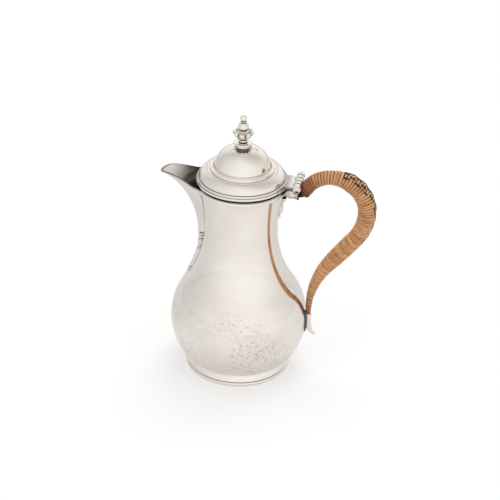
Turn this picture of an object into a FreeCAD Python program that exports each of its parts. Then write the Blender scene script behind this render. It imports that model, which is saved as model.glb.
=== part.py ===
import FreeCAD
import Part
import math
import os

# Silver coffee pot with a hinged domed lid, a beak spout and a cane-bound handle.
# The handle points along +X, the spout along -X, and the foot stands on z = 0. Millimetres.

# Body: a raised baluster shell on a foot ring
WALL = 1.1
FOOT_H = 10.0
BASE_CORNER = 6.0
BELLY_R = 52.6
BELLY_Z = 42.0
BELLY_ARC = 50.0
NECK_R = 28.0
NECK_Z = 121.0
RIM_R = 34.5
RIM_Z = 158.5
RIM_WIRE = 1.5

# Foot ring
FOOT_TOP_R = 37.9
FOOT_SPREAD = 2.2
FOOT_EDGE_R = FOOT_TOP_R + FOOT_SPREAD
FOOT_BEAD = 1.7
FOOT_BEAD_REACH = 0.65
FOOT_WALL = 2.2
FOOT_GROOVE = 0.5
FOOT_HOLLOW = 0.85

# Beak spout: its keel is one curve from the neck to the lip
SPOUT_WALL = 1.1
SPOUT_STAND = 5.1
SPOUT_DROP = 45.5
SPOUT_REACH = 27.9
SPOUT_TIP_RISE = 3.2
SPOUT_RUN = 22.0
SPOUT_LIP_RUN = 17.3
SPOUT_LIP_RISE = 6.7
SPOUT_NOSE = 3.6
SPOUT_FLARE = 0.4
SPOUT_SPLAY = 24.0
SPOUT_FOOT_HALF = 6.0
SPOUT_RIM_HALF = 21.5
SPOUT_LEVELS = 7
SPOUT_STOCK = 0.45
SPOUT_THROAT = 0.12
LIP_STEP = 1.0
LIP_RUN = 7.5
LIP_RISE = 3.0
LIP_CURL_RUN = 6.4
LIP_CURL = 4.8

# Handle: wood core in two silver sockets, bound with cane
TENON_R = 3.45
CORE_R = 4.65
TANG_R = 1.0
SOCKET_WALL = 1.61
SOCKET_DROP = 4.4
SOCKET_SEAT = 3.0
HANDLE_KINK = 5.0
HANDLE_RISE = 15.6
HANDLE_TOP_REACH = 34.0
HANDLE_TOP_ARC = 22.5
HANDLE_CREST_ARC = 26.6
HANDLE_BACK_ARC = 40.0
HANDLE_LEAN = 38.0
HANDLE_TAIL_ARC = 70.0
CANE_D = 1.8
CANE_LOOPS = 24
CANE_CLEAR = 0.35
CORE_RINGS = 16
CANE_ARCS = 4
CANE_MARGIN = 0.3
CANE_SAMPLES = 40
LACE_RINGS = 9
LACE_CLEAR = 0.15
SOCKET_LIP = 0.5
SOCKET_LIP_W = 1.8
PIN_R = 0.9
PIN_INSET = 2.6
PIN_FIT = 0.04

# Swell of the wood core between its tenon and its tang: (share of the way, part of CORE_R)
CORE_SWELL = ((0.15, 0.74), (0.25, 1.02), (0.4, 1.0), (0.63, 1.0), (0.71, 0.91), (0.86, 0.57))
BIND_STOP = 7.0
LACE_T = 0.7
LACE_W = 2.2
LACE_FROM = 0.2
LACE_TO = 0.56
LACE_TILT = 30.0

# Cast drop under the spout, with its parts as shares of its half width, rise and length:
# mouldings (top, bottom, width, rise), outlines of (width, way down) and beads (way down, radius by width)
DROP_HALF = 5.4
DROP_RISE = 4.4
DROP_LENGTH = 38.0
DROP_MOULDINGS = ((0.0, 0.045, 1.0, 1.0), (0.045, 0.068, 0.85, 0.73), (0.068, 0.11, 0.93, 0.95))
DROP_LEAF = ((0.63, 0.11), (0.85, 0.21), (0.67, 0.315), (0.0, 0.42))
DROP_LEAF_RISE = 0.73
DROP_STRAP = ((0.58, 0.26), (0.66, 0.37), (0.5, 0.87), (0.45, 0.895))
DROP_STRAP_RISE = 0.48
DROP_RIB = ((0.2, 0.3), (0.24, 0.45), (0.16, 0.87))
DROP_RIB_RISE = 0.62
DROP_BEADS = ((0.88, 0.41), (0.958, 0.315))

# Cast drop under the upper handle socket, in the same shares
TEAR_HALF = 3.2
TEAR_RISE = 3.0
TEAR_LENGTH = 19.0
TEAR_MOULDING = ((1.0, 0.0), (1.0, 0.105))
TEAR_LEAF = ((0.375, 0.263), (0.84, 0.5), (0.69, 0.684), (0.25, 0.868))
TEAR_LEAF_RISE = 0.8
TEAR_STEM = ((0.28, 0.158), (0.28, 0.895))
TEAR_STEM_RISE = 0.47
TEAR_BEADS = ((0.19, 0.72), (0.916, 0.5))

# Lower socket
LOW_SOCKET_WALL = 1.2
LOW_SOCKET_H = 13.0
LOW_SOCKET_Z = 36.0
BIND_END_Z = LOW_SOCKET_Z + LOW_SOCKET_H + BIND_STOP
LOW_SOCKET_FLOOR = 1.8
LOW_PAD_HALF = 3.6
LOW_PAD_RISE = 1.2
LOW_PAD_PEAK = 3.0
LOW_PAD_PEAK_HALF = 1.44
LOW_PAD_SHOULDER = 2.0
LOW_PAD_WAIST = 3.0
LOW_PAD_TAIL = 6.0
LOW_PAD_TAIL_HALF = 1.08
SPUR_REACH = 4.6
SPUR_FALL = 4.4
SPUR_ROOT = 0.95
SPUR_KNEE = 0.7
SPUR_KNEE_OUT = 0.35
SPUR_KNEE_DOWN = 0.55
SPUR_TIP_R = 0.9
SPUR_CURL_R = 1.35
LOW_LIP = 0.5
LOW_LIP_H = 1.4
LOW_PIN_R = 0.45
LOW_PIN_RISE = 3.6

# Hinge
HINGE_RISE = 4.6
HINGE_REACH = 8.6
HINGE_R = 3.0
HINGE_LENGTH = 24.0
HINGE_KNUCKLES = 5
HINGE_GAP = 0.25
HINGE_PIN_R = 1.1
HINGE_WEB = 2.6
HINGE_RUN = 0.06
SADDLE_BACK = 2.4
SADDLE_FRONT = 0.6
SADDLE_WRAP = 1.2
LEAF_T = 1.8

# Lid
LID_SEAT = 0.25
LID_SHADOW = 1.2
LID_OVERHANG = 0.3
LID_CLEAR = 0.4
LID_BAND = 2.4
LID_RIM_H = 5.2
LID_WALL = 1.0
LID_SHOULDER_R = 32.6
LID_SHOULDER_H = 6.4
LID_STEP_R = 26.8
LID_BULGE = 1.0
LID_BAND_ROUND = 0.5
LID_GROOVE = 0.3
LID_COVE = 1.3
LID_STEP_RISE = 0.6
LID_RING_R = 23.4
LID_RING_WIRE = 1.2
LID_DOME_R = 20.8
LID_DOME_ARC = 15.8
LID_DOME_LIFT = 1.75
BEZEL_DEPTH = 4.0
BEZEL_CLEAR = 0.55
BEZEL_WALL = 1.0

# Finial
FINIAL_COLLAR_R = 5.0
FINIAL_COLLAR_H = 3.0
FINIAL_DISC_R = 7.15
FINIAL_DISC_H = 1.6
FINIAL_STEM_R = 2.6
FINIAL_RING_R = 3.5
FINIAL_STEM_H = 2.6
CALYX_R = 6.6
CALYX_H = 6.6
CALYX_SWELL = 0.8
CALYX_SWELL_H = 0.35
CALYX_EDGE_H = 0.7
CALYX_LOBES = 8
CALYX_LOBE_R = 1.75
KNOP_R = 4.05
KNOP_NECK_R = 1.7
KNOP_NECK_H = 0.5
KNOP_RING_WIRE = 0.5
KNOP_RING_H = 0.2
BEAD_R = 2.6
KNOP_SINK = 0.7
STUD_R = 1.25
NUT_R = 3.6
NUT_H = 2.2
WASHER_CLEAR = 0.3
WASHER_H = 0.8

UP = FreeCAD.Vector(0, 0, 1)
ORIGIN = FreeCAD.Vector(0, 0, 0)
ALONG = FreeCAD.Vector(1, 0, 0)
ACROSS = FreeCAD.Vector(0, 1, 0)


def at(r, z):
    """A point of a half outline, in the XZ plane."""
    return FreeCAD.Vector(r, 0, z)


def line(a, b):
    return Part.LineSegment(a, b).toShape()


def arc(a, through, b):
    return Part.Arc(a, through, b).toShape()


def arc_about(centre, radius, start, end):
    """An arc in the XZ plane between two angles in degrees, measured from +X towards +Z."""
    points = []
    for angle in (start, (start + end) / 2, end):
        turn = math.radians(angle)
        points.append(centre + at(radius * math.cos(turn), radius * math.sin(turn)))
    return arc(*points)


def angle_of(vector):
    return math.degrees(math.atan2(vector.z, vector.x))


def turned(edges):
    """A solid of revolution about Z from the edges of a closed half outline, with its seam at the side."""
    face = Part.Face(Part.Wire(Part.__sortEdges__(edges)))
    face.rotate(ORIGIN, UP, 90)
    return face.revolve(ORIGIN, UP, 360)


def outline(points):
    """Straight edges that close a list of points."""
    return [line(a, b) for a, b in zip(points, points[1:] + points[:1])]


def tidy(shape):
    """One clean solid from a boolean result."""
    shape = shape.removeSplitter()
    return shape.Solids[0] if len(shape.Solids) == 1 else shape


# Centres and radii of the arcs of the body's outline, each tangent to the next
belly_centre = at(BELLY_R - BELLY_ARC, BELLY_Z)
corner_rise = FOOT_H + BASE_CORNER
corner_centre = at(belly_centre.x + math.sqrt((BELLY_ARC - BASE_CORNER) ** 2 - (BELLY_Z - corner_rise) ** 2),
                   corner_rise)
waist_in = NECK_R - belly_centre.x
waist_up = NECK_Z - BELLY_Z
waist_arc = (waist_in ** 2 + waist_up ** 2 - BELLY_ARC ** 2) / (2 * (BELLY_ARC - waist_in))
waist_centre = at(NECK_R + waist_arc, NECK_Z)
mouth_out = RIM_R - NECK_R
mouth_arc = (mouth_out ** 2 + (RIM_Z - NECK_Z) ** 2) / (2 * mouth_out)
mouth_centre = at(NECK_R + mouth_arc, NECK_Z)


def neck_radius(z, skin=0.0):
    """Radius of the body above the belly, set in by skin."""
    centre, radius = (mouth_centre, mouth_arc) if z > NECK_Z else (waist_centre, waist_arc)
    return centre.x - math.sqrt((radius + skin) ** 2 - (z - NECK_Z) ** 2)


def body_form(skin, top):
    """The solid inside the body's outline, set in from its outer face by skin."""
    to_corner = angle_of(corner_centre - belly_centre)
    to_waist = angle_of(waist_centre - belly_centre)
    floor_z = FOOT_H + skin
    rim = at(neck_radius(top, skin), top)
    edges = [
        line(at(0, floor_z), at(corner_centre.x, floor_z)),
        arc_about(corner_centre, BASE_CORNER - skin, -90, to_corner),
        arc_about(belly_centre, BELLY_ARC - skin, to_corner, to_waist),
        arc_about(waist_centre, waist_arc + skin, to_waist + 180, 180),
        arc_about(mouth_centre, mouth_arc + skin, 180, angle_of(rim - mouth_centre) % 360),
        line(rim, at(0, top)),
        line(at(0, top), at(0, floor_z)),
    ]
    return turned(edges)


# Keel of the spout as a cubic curve, from its foot on the neck to the tip of the lip
spout_foot_z = RIM_Z - SPOUT_DROP
spout_tip = at(RIM_R + SPOUT_REACH, RIM_Z + SPOUT_TIP_RISE)
keel_poles = [
    at(NECK_R + SPOUT_STAND, spout_foot_z),
    at(NECK_R + SPOUT_STAND, spout_foot_z + SPOUT_RUN),
    spout_tip - at(SPOUT_LIP_RUN, SPOUT_LIP_RISE),
    spout_tip,
]


def keel(share):
    """Point and direction of the keel at a share of its length, straight on past the tip."""
    s = min(share, 1.0)
    a, b, c, d = keel_poles
    point = a * (1 - s) ** 3 + b * 3 * s * (1 - s) ** 2 + c * 3 * s ** 2 * (1 - s) + d * s ** 3
    way = (b - a) * (1 - s) ** 2 + (c - b) * 2 * s * (1 - s) + (d - c) * s ** 2
    way.normalize()
    return point + way * (share - s) * SPOUT_REACH, way


def spout_section(share, skin):
    """Level outline of the spout at a share of the keel: two mirrored curves and a chord in the neck."""
    point, way = keel(share)
    nose = point.x - skin / way.z
    up_neck = min((point.z - spout_foot_z) / SPOUT_DROP, 1.0)
    half = SPOUT_FOOT_HALF + (SPOUT_RIM_HALF - SPOUT_FOOT_HALF) * up_neck - skin
    root_r = neck_radius(min(point.z, RIM_Z)) - WALL / 2 - skin
    root_x = math.sqrt(root_r ** 2 - half ** 2)
    lean = math.asin(half / root_r) + math.radians(SPOUT_SPLAY)
    flare = SPOUT_FLARE * math.hypot(nose - root_x, half)
    edges = []
    for side in (1, -1):
        poles = [(nose, 0), (nose, SPOUT_NOSE),
                 (root_x + flare * math.sin(lean), half - flare * math.cos(lean)), (root_x, half)]
        curve = Part.BezierCurve()
        curve.setPoles([FreeCAD.Vector(-x, side * y, point.z) for x, y in poles])
        edges.append(curve.toShape())
    edges.append(line(FreeCAD.Vector(-root_x, half, point.z), FreeCAD.Vector(-root_x, -half, point.z)))
    return Part.Wire(Part.__sortEdges__(edges))


def spout_form(skin, first):
    """The solid inside the spout, from a share of the keel to above its lip."""
    top = 1.0 + SPOUT_STOCK
    shares = [first + (top - first) * i / (SPOUT_LEVELS - 1) for i in range(SPOUT_LEVELS)]
    return Part.makeLoft([spout_section(share, skin) for share in shares], True, False)


def body_shell():
    """The raised pot, open at the neck, with the spout's throat cut through its wall."""
    shell = body_form(0, RIM_Z).cut(body_form(WALL, RIM_Z + WALL))
    return tidy(shell.cut(spout_form(SPOUT_WALL, SPOUT_THROAT)))


def foot_ring():
    """Spreading foot under the body: a hollow flare over a rounded bead."""
    bead_z = 2 * FOOT_BEAD
    groove_z = bead_z + FOOT_GROOVE
    edge = at(FOOT_EDGE_R, groove_z)
    top = at(FOOT_TOP_R, FOOT_H)
    hollow = (edge + top) * 0.5 - at(FOOT_HOLLOW, FOOT_HOLLOW / 2)
    bead_in = FOOT_EDGE_R - FOOT_BEAD + FOOT_BEAD_REACH
    inner = FOOT_TOP_R - FOOT_WALL
    edges = [
        line(at(inner, FOOT_H), top),
        arc(top, hollow, edge),
        line(edge, at(FOOT_EDGE_R - FOOT_GROOVE, groove_z)),
        line(at(FOOT_EDGE_R - FOOT_GROOVE, groove_z), at(FOOT_EDGE_R - FOOT_GROOVE, bead_z)),
        line(at(FOOT_EDGE_R - FOOT_GROOVE, bead_z), at(bead_in, bead_z)),
        arc_about(at(bead_in, FOOT_BEAD), FOOT_BEAD, 90, -90),
        line(at(bead_in, 0), at(inner, 0)),
        line(at(inner, 0), at(inner, FOOT_H)),
    ]
    return turned(edges)


def rim_wire():
    """Full round wire at the mouth of the neck, before it is fitted to the neck."""
    z = RIM_Z - RIM_WIRE
    return Part.makeTorus(neck_radius(z), RIM_WIRE, at(0, z), UP)


def neck_rim():
    """Half-round moulding round the mouth, stopped at both sides of the spout."""
    return tidy(rim_wire().cut(body_form(0, RIM_Z)).cut(spout_form(0, 0)))


def lip_waste():
    """Everything above the spout's open edge, which rises from the rim and curls down to the tip."""
    start = at(RIM_R + LIP_STEP, RIM_Z)
    tip = spout_tip
    poles = [start, start + at(LIP_RUN, LIP_RISE), tip + at(-LIP_CURL_RUN, LIP_CURL), tip]
    width = 2 * RIM_R
    curve = Part.BezierCurve()
    curve.setPoles([FreeCAD.Vector(-p.x, -width / 2, p.z) for p in poles])
    high = RIM_Z + SPOUT_DROP
    far = tip.x + SPOUT_REACH
    corners = [tip, at(far, tip.z), at(far, high), at(0, high), at(0, RIM_Z), start]
    points = [FreeCAD.Vector(-p.x, -width / 2, p.z) for p in corners]
    edges = [curve.toShape()] + [line(a, b) for a, b in zip(points, points[1:])]
    return Part.Face(Part.Wire(Part.__sortEdges__(edges))).extrude(ACROSS * width)


def spout():
    """Beak spout, open on top, soldered over the throat in the neck."""
    shell = spout_form(0, 0).cut(spout_form(SPOUT_WALL, SPOUT_THROAT))
    return tidy(shell.cut(body_form(0, RIM_Z + WALL)).cut(lip_waste()))


def relief(points, rise, side):
    """A raised pad that follows the body: an outline of (half width, z) points carried rise mm proud."""
    ring = [FreeCAD.Vector(0, y, z) for y, z in points]
    ring += [FreeCAD.Vector(0, -y, z) for y, z in reversed(points) if y > 0]
    prism = Part.Face(Part.Wire(outline(ring))).extrude(FreeCAD.Vector(side * 2 * BELLY_R, 0, 0))
    return prism.common(body_form(-rise, RIM_Z).cut(body_form(0, RIM_Z)))


def bead_on_body(z, radius, side):
    """A ball sunk to its middle in the body's face."""
    return Part.makeSphere(radius, at(side * neck_radius(z), z)).cut(body_form(0, RIM_Z))


def fused(shapes):
    whole = shapes[0]
    for shape in shapes[1:]:
        whole = whole.fuse(shape)
    return tidy(whole)


def spout_drop():
    """Cast drop below the spout: two mouldings, a leaf bud, a ribbed strap and two end beads."""
    def down(share):
        return spout_foot_z - DROP_LENGTH * share

    parts = []
    for high, low, width, rise in DROP_MOULDINGS:
        half = DROP_HALF * width
        parts.append(relief([(half, down(high)), (half, down(low))], DROP_RISE * rise, -1))
    outlines = ((DROP_LEAF, DROP_LEAF_RISE), (DROP_STRAP, DROP_STRAP_RISE), (DROP_RIB, DROP_RIB_RISE))
    for points, rise in outlines:
        ring = [(DROP_HALF * width, down(share)) for width, share in points]
        parts.append(relief(ring, DROP_RISE * rise, -1))
    for share, radius in DROP_BEADS:
        parts.append(bead_on_body(down(share), DROP_HALF * radius, -1))
    return fused(parts)


def socket_drop():
    """Cast drop below the upper handle socket: a moulding, a bead, a teardrop leaf and an end bead."""
    top = socket_z - socket_r
    parts = []
    for points, rise in ((TEAR_MOULDING, 1.0), (TEAR_LEAF, TEAR_LEAF_RISE), (TEAR_STEM, TEAR_STEM_RISE)):
        ring = [(TEAR_HALF * width, top - TEAR_LENGTH * share) for width, share in points]
        parts.append(relief(ring, TEAR_RISE * rise, 1))
    for share, radius in TEAR_BEADS:
        parts.append(bead_on_body(top - TEAR_LENGTH * share, TEAR_HALF * radius, 1))
    return fused(parts)


# Route of the handle in the XZ plane: socket, kink, top, back, straight, tail and tang
socket_z = RIM_Z - SOCKET_DROP
socket_r = TENON_R + PIN_FIT + SOCKET_WALL
low_socket_r = TANG_R + PIN_FIT + LOW_SOCKET_WALL
top_x = RIM_R + HANDLE_TOP_REACH
top_centre = at(top_x, socket_z + HANDLE_RISE - HANDLE_TOP_ARC)
kink_up = socket_z + HANDLE_KINK - top_centre.z
kink_x = top_x - math.sqrt((HANDLE_TOP_ARC + HANDLE_KINK) ** 2 - kink_up ** 2)
kink_centre = at(kink_x, socket_z + HANDLE_KINK)
kink_end = angle_of(top_centre - kink_centre)
crest_centre = at(top_x, socket_z + HANDLE_RISE - HANDLE_CREST_ARC)
back_centre = at(top_x + HANDLE_CREST_ARC - HANDLE_BACK_ARC, crest_centre.z)
tang_x = BELLY_R + low_socket_r
lean = math.radians(HANDLE_LEAN)
straight_top = back_centre + at(HANDLE_BACK_ARC * math.cos(lean), -HANDLE_BACK_ARC * math.sin(lean))
tail_x = tang_x + HANDLE_TAIL_ARC * (1 - math.cos(lean))
straight_run = (straight_top.x - tail_x) / math.sin(lean)
straight_end = straight_top - at(math.sin(lean), math.cos(lean)) * straight_run
tail_centre = straight_end + at(math.cos(lean), -math.sin(lean)) * HANDLE_TAIL_ARC
tang_end = LOW_SOCKET_Z + LOW_SOCKET_FLOOR
pin_x = kink_x - SOCKET_LIP_W - PIN_INSET
low_pin_z = LOW_SOCKET_Z + LOW_PIN_RISE
tail_turn = math.degrees(math.asin(max(BIND_END_Z - tail_centre.z, 0) / HANDLE_TAIL_ARC))

# The bound stretch of that route as (centre, radius, first angle, last angle) arcs and one straight
bound_route = [
    (top_centre, HANDLE_TOP_ARC, kink_end + 180, 90),
    (crest_centre, HANDLE_CREST_ARC, 90, 0),
    (back_centre, HANDLE_BACK_ARC, 0, -HANDLE_LEAN),
    (straight_top, straight_end),
    (tail_centre, HANDLE_TAIL_ARC, 180 - HANDLE_LEAN, 180 - tail_turn),
]
if tail_centre.z > BIND_END_Z:
    bound_route.append((at(tang_x, tail_centre.z), at(tang_x, BIND_END_Z)))


def run_length(piece):
    if len(piece) == 2:
        return (piece[1] - piece[0]).Length
    return piece[1] * math.radians(abs(piece[3] - piece[2]))


bound_length = sum(run_length(piece) for piece in bound_route)


def on_route(distance):
    """Point, heading and outward normal of the bound stretch at a distance from its start."""
    for piece in bound_route:
        length = run_length(piece)
        if distance <= length or piece is bound_route[-1]:
            break
        distance -= length
    share = distance / length
    if len(piece) == 2:
        heading = (piece[1] - piece[0]).normalize()
        point = piece[0] + heading * distance
    else:
        centre, radius, first, last = piece
        angle = math.radians(first + (last - first) * share)
        spin = 1 if last > first else -1
        point = centre + at(radius * math.cos(angle), radius * math.sin(angle))
        heading = at(-math.sin(angle), math.cos(angle)) * spin
    return point, heading, at(-heading.z, heading.x)


def core_radius(share):
    """Radius of the wood core at a share of the bound stretch."""
    knots = [(0.0, TENON_R)] + [(way, CORE_R * part) for way, part in CORE_SWELL] + [(1.0, TANG_R)]
    for (a, ra), (b, rb) in zip(knots, knots[1:]):
        if share <= b:
            return ra + (rb - ra) * (share - a) / (b - a)
    return TANG_R


def grip_radius(share):
    """Radius of the handle over its binding."""
    return core_radius(share) + CANE_CLEAR + CANE_D


def circle_at(point, heading, radius):
    return Part.Wire(Part.Circle(point, heading, radius).toShape())


def pin_across(radius, half_length, x, z):
    """A round pin along Y."""
    return Part.makeCylinder(radius, 2 * half_length, FreeCAD.Vector(x, -half_length, z), ACROSS)


def handle_core():
    """Shaped wood core: a round tenon, a kink, the grip under the cane and a thin tang."""
    seat = FreeCAD.Vector(neck_radius(socket_z) + SOCKET_SEAT, 0, socket_z)
    tenon = Part.makeCylinder(TENON_R, kink_x - seat.x, seat, ALONG)
    disc = Part.Face(circle_at(at(kink_x, socket_z), ALONG, TENON_R))
    kink = disc.revolve(kink_centre, -ACROSS, kink_end + 90)
    rings = []
    for i in range(CORE_RINGS + 1):
        share = i / CORE_RINGS
        point, heading, _ = on_route(bound_length * share)
        rings.append(circle_at(point, heading, core_radius(share)))
    grip = Part.makeLoft(rings, True, False)
    end, heading, _ = on_route(bound_length)
    tang_top = min(tail_centre.z, BIND_END_Z)
    pieces = [tenon, kink, grip, Part.makeCylinder(TANG_R, tang_top - tang_end, at(tang_x, tang_end), UP)]
    if tail_turn > 0:
        pieces.append(Part.Face(circle_at(end, heading, TANG_R)).revolve(tail_centre, -ACROSS, tail_turn))
    whole = fused(pieces)
    whole = whole.cut(pin_across(PIN_R + PIN_FIT, 2 * socket_r, pin_x, socket_z))
    return tidy(whole.cut(pin_across(LOW_PIN_R + PIN_FIT, 2 * low_socket_r, tang_x, low_pin_z)))


def cane_point(distance):
    """A point on the middle line of the cane, wound round the core."""
    share = distance / bound_length
    point, _, normal = on_route(distance)
    turn = 2 * math.pi * CANE_LOOPS * share
    reach = grip_radius(share) - CANE_D / 2
    return point + normal * reach * math.cos(turn) + ACROSS * reach * math.sin(turn)


def bend(start, corner, end):
    """The arc from start to end that is tangent to both lines through their corner."""
    middle = (start + end) * 0.5
    half_chord = (end - start).Length / 2
    to_corner = corner - middle
    if to_corner.Length < 1e-6:
        return line(start, end)
    quarter = math.acos(min(1.0, half_chord / (corner - start).Length)) / 2
    return arc(start, middle + to_corner.normalize() * half_chord * math.tan(quarter), end)


def biarc(a, way_a, b, way_b):
    """Two arcs that join two points along given directions."""
    gap = b - a
    ways = way_a + way_b
    curl = 2 * (1 - way_a.dot(way_b))
    push = 2 * gap.dot(ways)
    if curl < 1e-9:
        reach = gap.dot(gap) / push
    else:
        reach = (-push + math.sqrt(push ** 2 + 4 * curl * gap.dot(gap))) / (2 * curl)
    corner_a = a + way_a * reach
    corner_b = b - way_b * reach
    join = (corner_a + corner_b) * 0.5
    return [bend(a, corner_a, join), bend(join, corner_b, b)]


def cane_binding():
    """The cane wound round the grip as one unbroken length, with straight ends."""
    step = bound_length / CANE_LOOPS
    first = step * CANE_MARGIN
    last = bound_length - first
    count = round((last - first) / (step / CANE_ARCS))
    nudge = step / 1000
    knots = []
    for i in range(count + 1):
        distance = first + (last - first) * i / count
        way = cane_point(distance + nudge) - cane_point(distance - nudge)
        knots.append((cane_point(distance), way.normalize()))
    start, start_way = knots[0]
    end, end_way = knots[-1]
    edges = [line(start - start_way * CANE_D, start)]
    for (a, way_a), (b, way_b) in zip(knots, knots[1:]):
        edges += biarc(a, way_a, b, way_b)
    edges.append(line(end, end + end_way * CANE_D))
    path = Part.Wire(edges)
    section = circle_at(start - start_way * CANE_D, start_way, CANE_D / 2)
    tube = path.makePipeShell([section], True, False)
    report_cane(path, tube)
    return tube


def report_cane(path, tube):
    """Print the cane's volume against its length, its least gap to itself and its tightest arc."""
    points = path.discretize(Number=CANE_LOOPS * CANE_SAMPLES)
    spacing = path.Length / (len(points) - 1)
    skip = int(2 * CANE_D / spacing) + 1
    least = min((points[j] - points[i]).Length
                for i in range(len(points)) for j in range(i + skip, min(i + 2 * CANE_SAMPLES, len(points))))
    tightest = min(edge.Curve.Radius for edge in path.Edges if hasattr(edge.Curve, "Radius"))
    share = tube.Volume / (path.Length * math.pi * CANE_D ** 2 / 4)
    print("cane: least gap to itself %.2f mm, tightest arc %.2f mm, volume %.4f of section times length"
          % (least - CANE_D, tightest, share))


def cane_lacing():
    """Dark cane laced lengthwise over the turns, along the back of the grip."""
    strips = []
    for tilt in (-LACE_TILT, 0, LACE_TILT):
        turn = math.radians(tilt)
        frames = []
        for i in range(LACE_RINGS + 1):
            share = LACE_FROM + (LACE_TO - LACE_FROM) * i / LACE_RINGS
            point, _, normal = on_route(bound_length * share)
            out = normal * math.cos(turn) + ACROSS * math.sin(turn)
            side = ACROSS * math.cos(turn) - normal * math.sin(turn)
            low = point + out * (grip_radius(share) + LACE_CLEAR)
            half = side * (LACE_W / 2)
            high = out * LACE_T
            corners = [low - half, low + half, low + half + high, low - half + high]
            frames.append(Part.Wire(outline(corners)))
        strips.append(Part.makeLoft(frames, True, False))
    return Part.makeCompound(strips)


def upper_socket():
    """Level silver tube on the neck that takes the handle's tenon, with a lipped mouth."""
    neck = neck_radius(socket_z)
    tube = Part.makeCylinder(socket_r, kink_x - neck / 2, at(neck / 2, socket_z), ALONG)
    lip = Part.makeCylinder(socket_r + SOCKET_LIP, SOCKET_LIP_W, at(kink_x - SOCKET_LIP_W, socket_z), ALONG)
    bore = Part.makeCylinder(TENON_R + PIN_FIT, kink_x, at(neck + SOCKET_SEAT - PIN_FIT, socket_z), ALONG)
    pin = pin_across(PIN_R + PIN_FIT, 2 * socket_r, pin_x, socket_z)
    lid_room = Part.makeCylinder(RIM_R + LID_OVERHANG + LID_CLEAR, 2 * socket_r, at(0, RIM_Z), UP)
    return tidy(tube.fuse(lip).cut(bore).cut(body_form(0, RIM_Z)).cut(lid_room).cut(rim_wire()).cut(pin))


def upper_pin():
    return pin_across(PIN_R, socket_r, pin_x, socket_z)


def lower_socket():
    """Cast lower socket: a cup for the tang, a leaf pad on the belly and a scroll spur kicked outwards."""
    cup = Part.makeCylinder(low_socket_r, LOW_SOCKET_H, at(tang_x, LOW_SOCKET_Z), UP)
    lip_z = LOW_SOCKET_Z + LOW_SOCKET_H
    lip = Part.makeCylinder(low_socket_r + LOW_LIP, LOW_LIP_H, at(tang_x, lip_z - LOW_LIP_H), UP)
    floor_z = LOW_SOCKET_Z
    pad = relief([(LOW_PAD_PEAK_HALF, lip_z + LOW_PAD_PEAK), (LOW_PAD_HALF, lip_z - LOW_PAD_SHOULDER),
                  (LOW_PAD_HALF, floor_z + LOW_PAD_WAIST), (LOW_PAD_TAIL_HALF, floor_z - LOW_PAD_TAIL)],
                 LOW_PAD_RISE, 1)
    start = at(tang_x, floor_z + low_socket_r / 2)
    knee = at(tang_x + SPUR_REACH * SPUR_KNEE_OUT, floor_z - SPUR_FALL * SPUR_KNEE_DOWN)
    tip = at(tang_x + SPUR_REACH, floor_z - SPUR_FALL)
    spur = Part.makeLoft([circle_at(start, knee - start, low_socket_r * SPUR_ROOT),
                          circle_at(knee, tip - start, low_socket_r * SPUR_KNEE),
                          circle_at(tip, tip - knee, SPUR_TIP_R)], True, False)
    curl = Part.makeSphere(SPUR_CURL_R, tip)
    bore = Part.makeCylinder(TANG_R + PIN_FIT, LOW_SOCKET_H * 2, at(tang_x, tang_end - PIN_FIT), UP)
    whole = cup.fuse(lip).fuse(spur).fuse(curl).fuse(pad).cut(bore).cut(body_form(0, RIM_Z))
    return tidy(whole.cut(pin_across(LOW_PIN_R + PIN_FIT, 2 * low_socket_r, tang_x, low_pin_z)))


def lower_pin():
    return pin_across(LOW_PIN_R, low_socket_r, tang_x, low_pin_z)


# Hinge: knuckles of the pot and of the lid take turns along one pin
hinge = at(RIM_R + HINGE_REACH, RIM_Z + HINGE_RISE)
knuckle_w = (HINGE_LENGTH - HINGE_GAP * (HINGE_KNUCKLES - 1)) / HINGE_KNUCKLES
saddle_top = hinge.z - HINGE_R - 2 * HINGE_GAP


def barrel(radius, start, length):
    return Part.makeCylinder(radius, length, FreeCAD.Vector(hinge.x, start, hinge.z), ACROSS)


def knuckles(first):
    """Every second knuckle along the hinge, as (start, length) pairs."""
    starts = [-HINGE_LENGTH / 2 + i * (knuckle_w + HINGE_GAP) for i in range(HINGE_KNUCKLES)]
    return [(start, knuckle_w) for start in starts[first::2]]


def block(x0, x1, y0, y1, z0, z1):
    return Part.makeBox(x1 - x0, y1 - y0, z1 - z0, FreeCAD.Vector(x0, y0, z0))


def hinge_saddle():
    """Bar across the upper socket that carries the pot's three knuckles."""
    half = HINGE_LENGTH / 2
    socket_top = socket_z + socket_r
    parts = [block(hinge.x - SADDLE_BACK, hinge.x + SADDLE_FRONT, -half, half,
                   socket_top - SADDLE_WRAP, saddle_top)]
    for start, length in knuckles(0):
        parts.append(barrel(HINGE_R, start, length))
        parts.append(block(hinge.x - HINGE_WEB / 2, hinge.x + HINGE_WEB / 2, start, start + length,
                           saddle_top - HINGE_GAP, hinge.z))
    socket = Part.makeCylinder(socket_r, 4 * socket_r, at(hinge.x - 2 * socket_r, socket_z), ALONG)
    lip = Part.makeCylinder(socket_r + SOCKET_LIP, SOCKET_LIP_W, at(kink_x - SOCKET_LIP_W, socket_z), ALONG)
    hole = barrel(HINGE_PIN_R + PIN_FIT, -HINGE_LENGTH, 2 * HINGE_LENGTH)
    return tidy(fused(parts).cut(socket).cut(lip).cut(hole))


def hinge_pin():
    return barrel(HINGE_PIN_R, -HINGE_LENGTH / 2, HINGE_LENGTH)


# Lid: levels and the circle of its shoulder
lid_under = RIM_Z + LID_SEAT
lid_r = RIM_R + LID_OVERHANG
cover_seat = lid_under + LID_RIM_H
step_z = cover_seat + LID_SHOULDER_H
dome_z = step_z + LID_DOME_LIFT
crown_z = dome_z + LID_DOME_ARC
bezel_r = neck_radius(RIM_Z - BEZEL_DEPTH, WALL) - BEZEL_CLEAR


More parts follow.
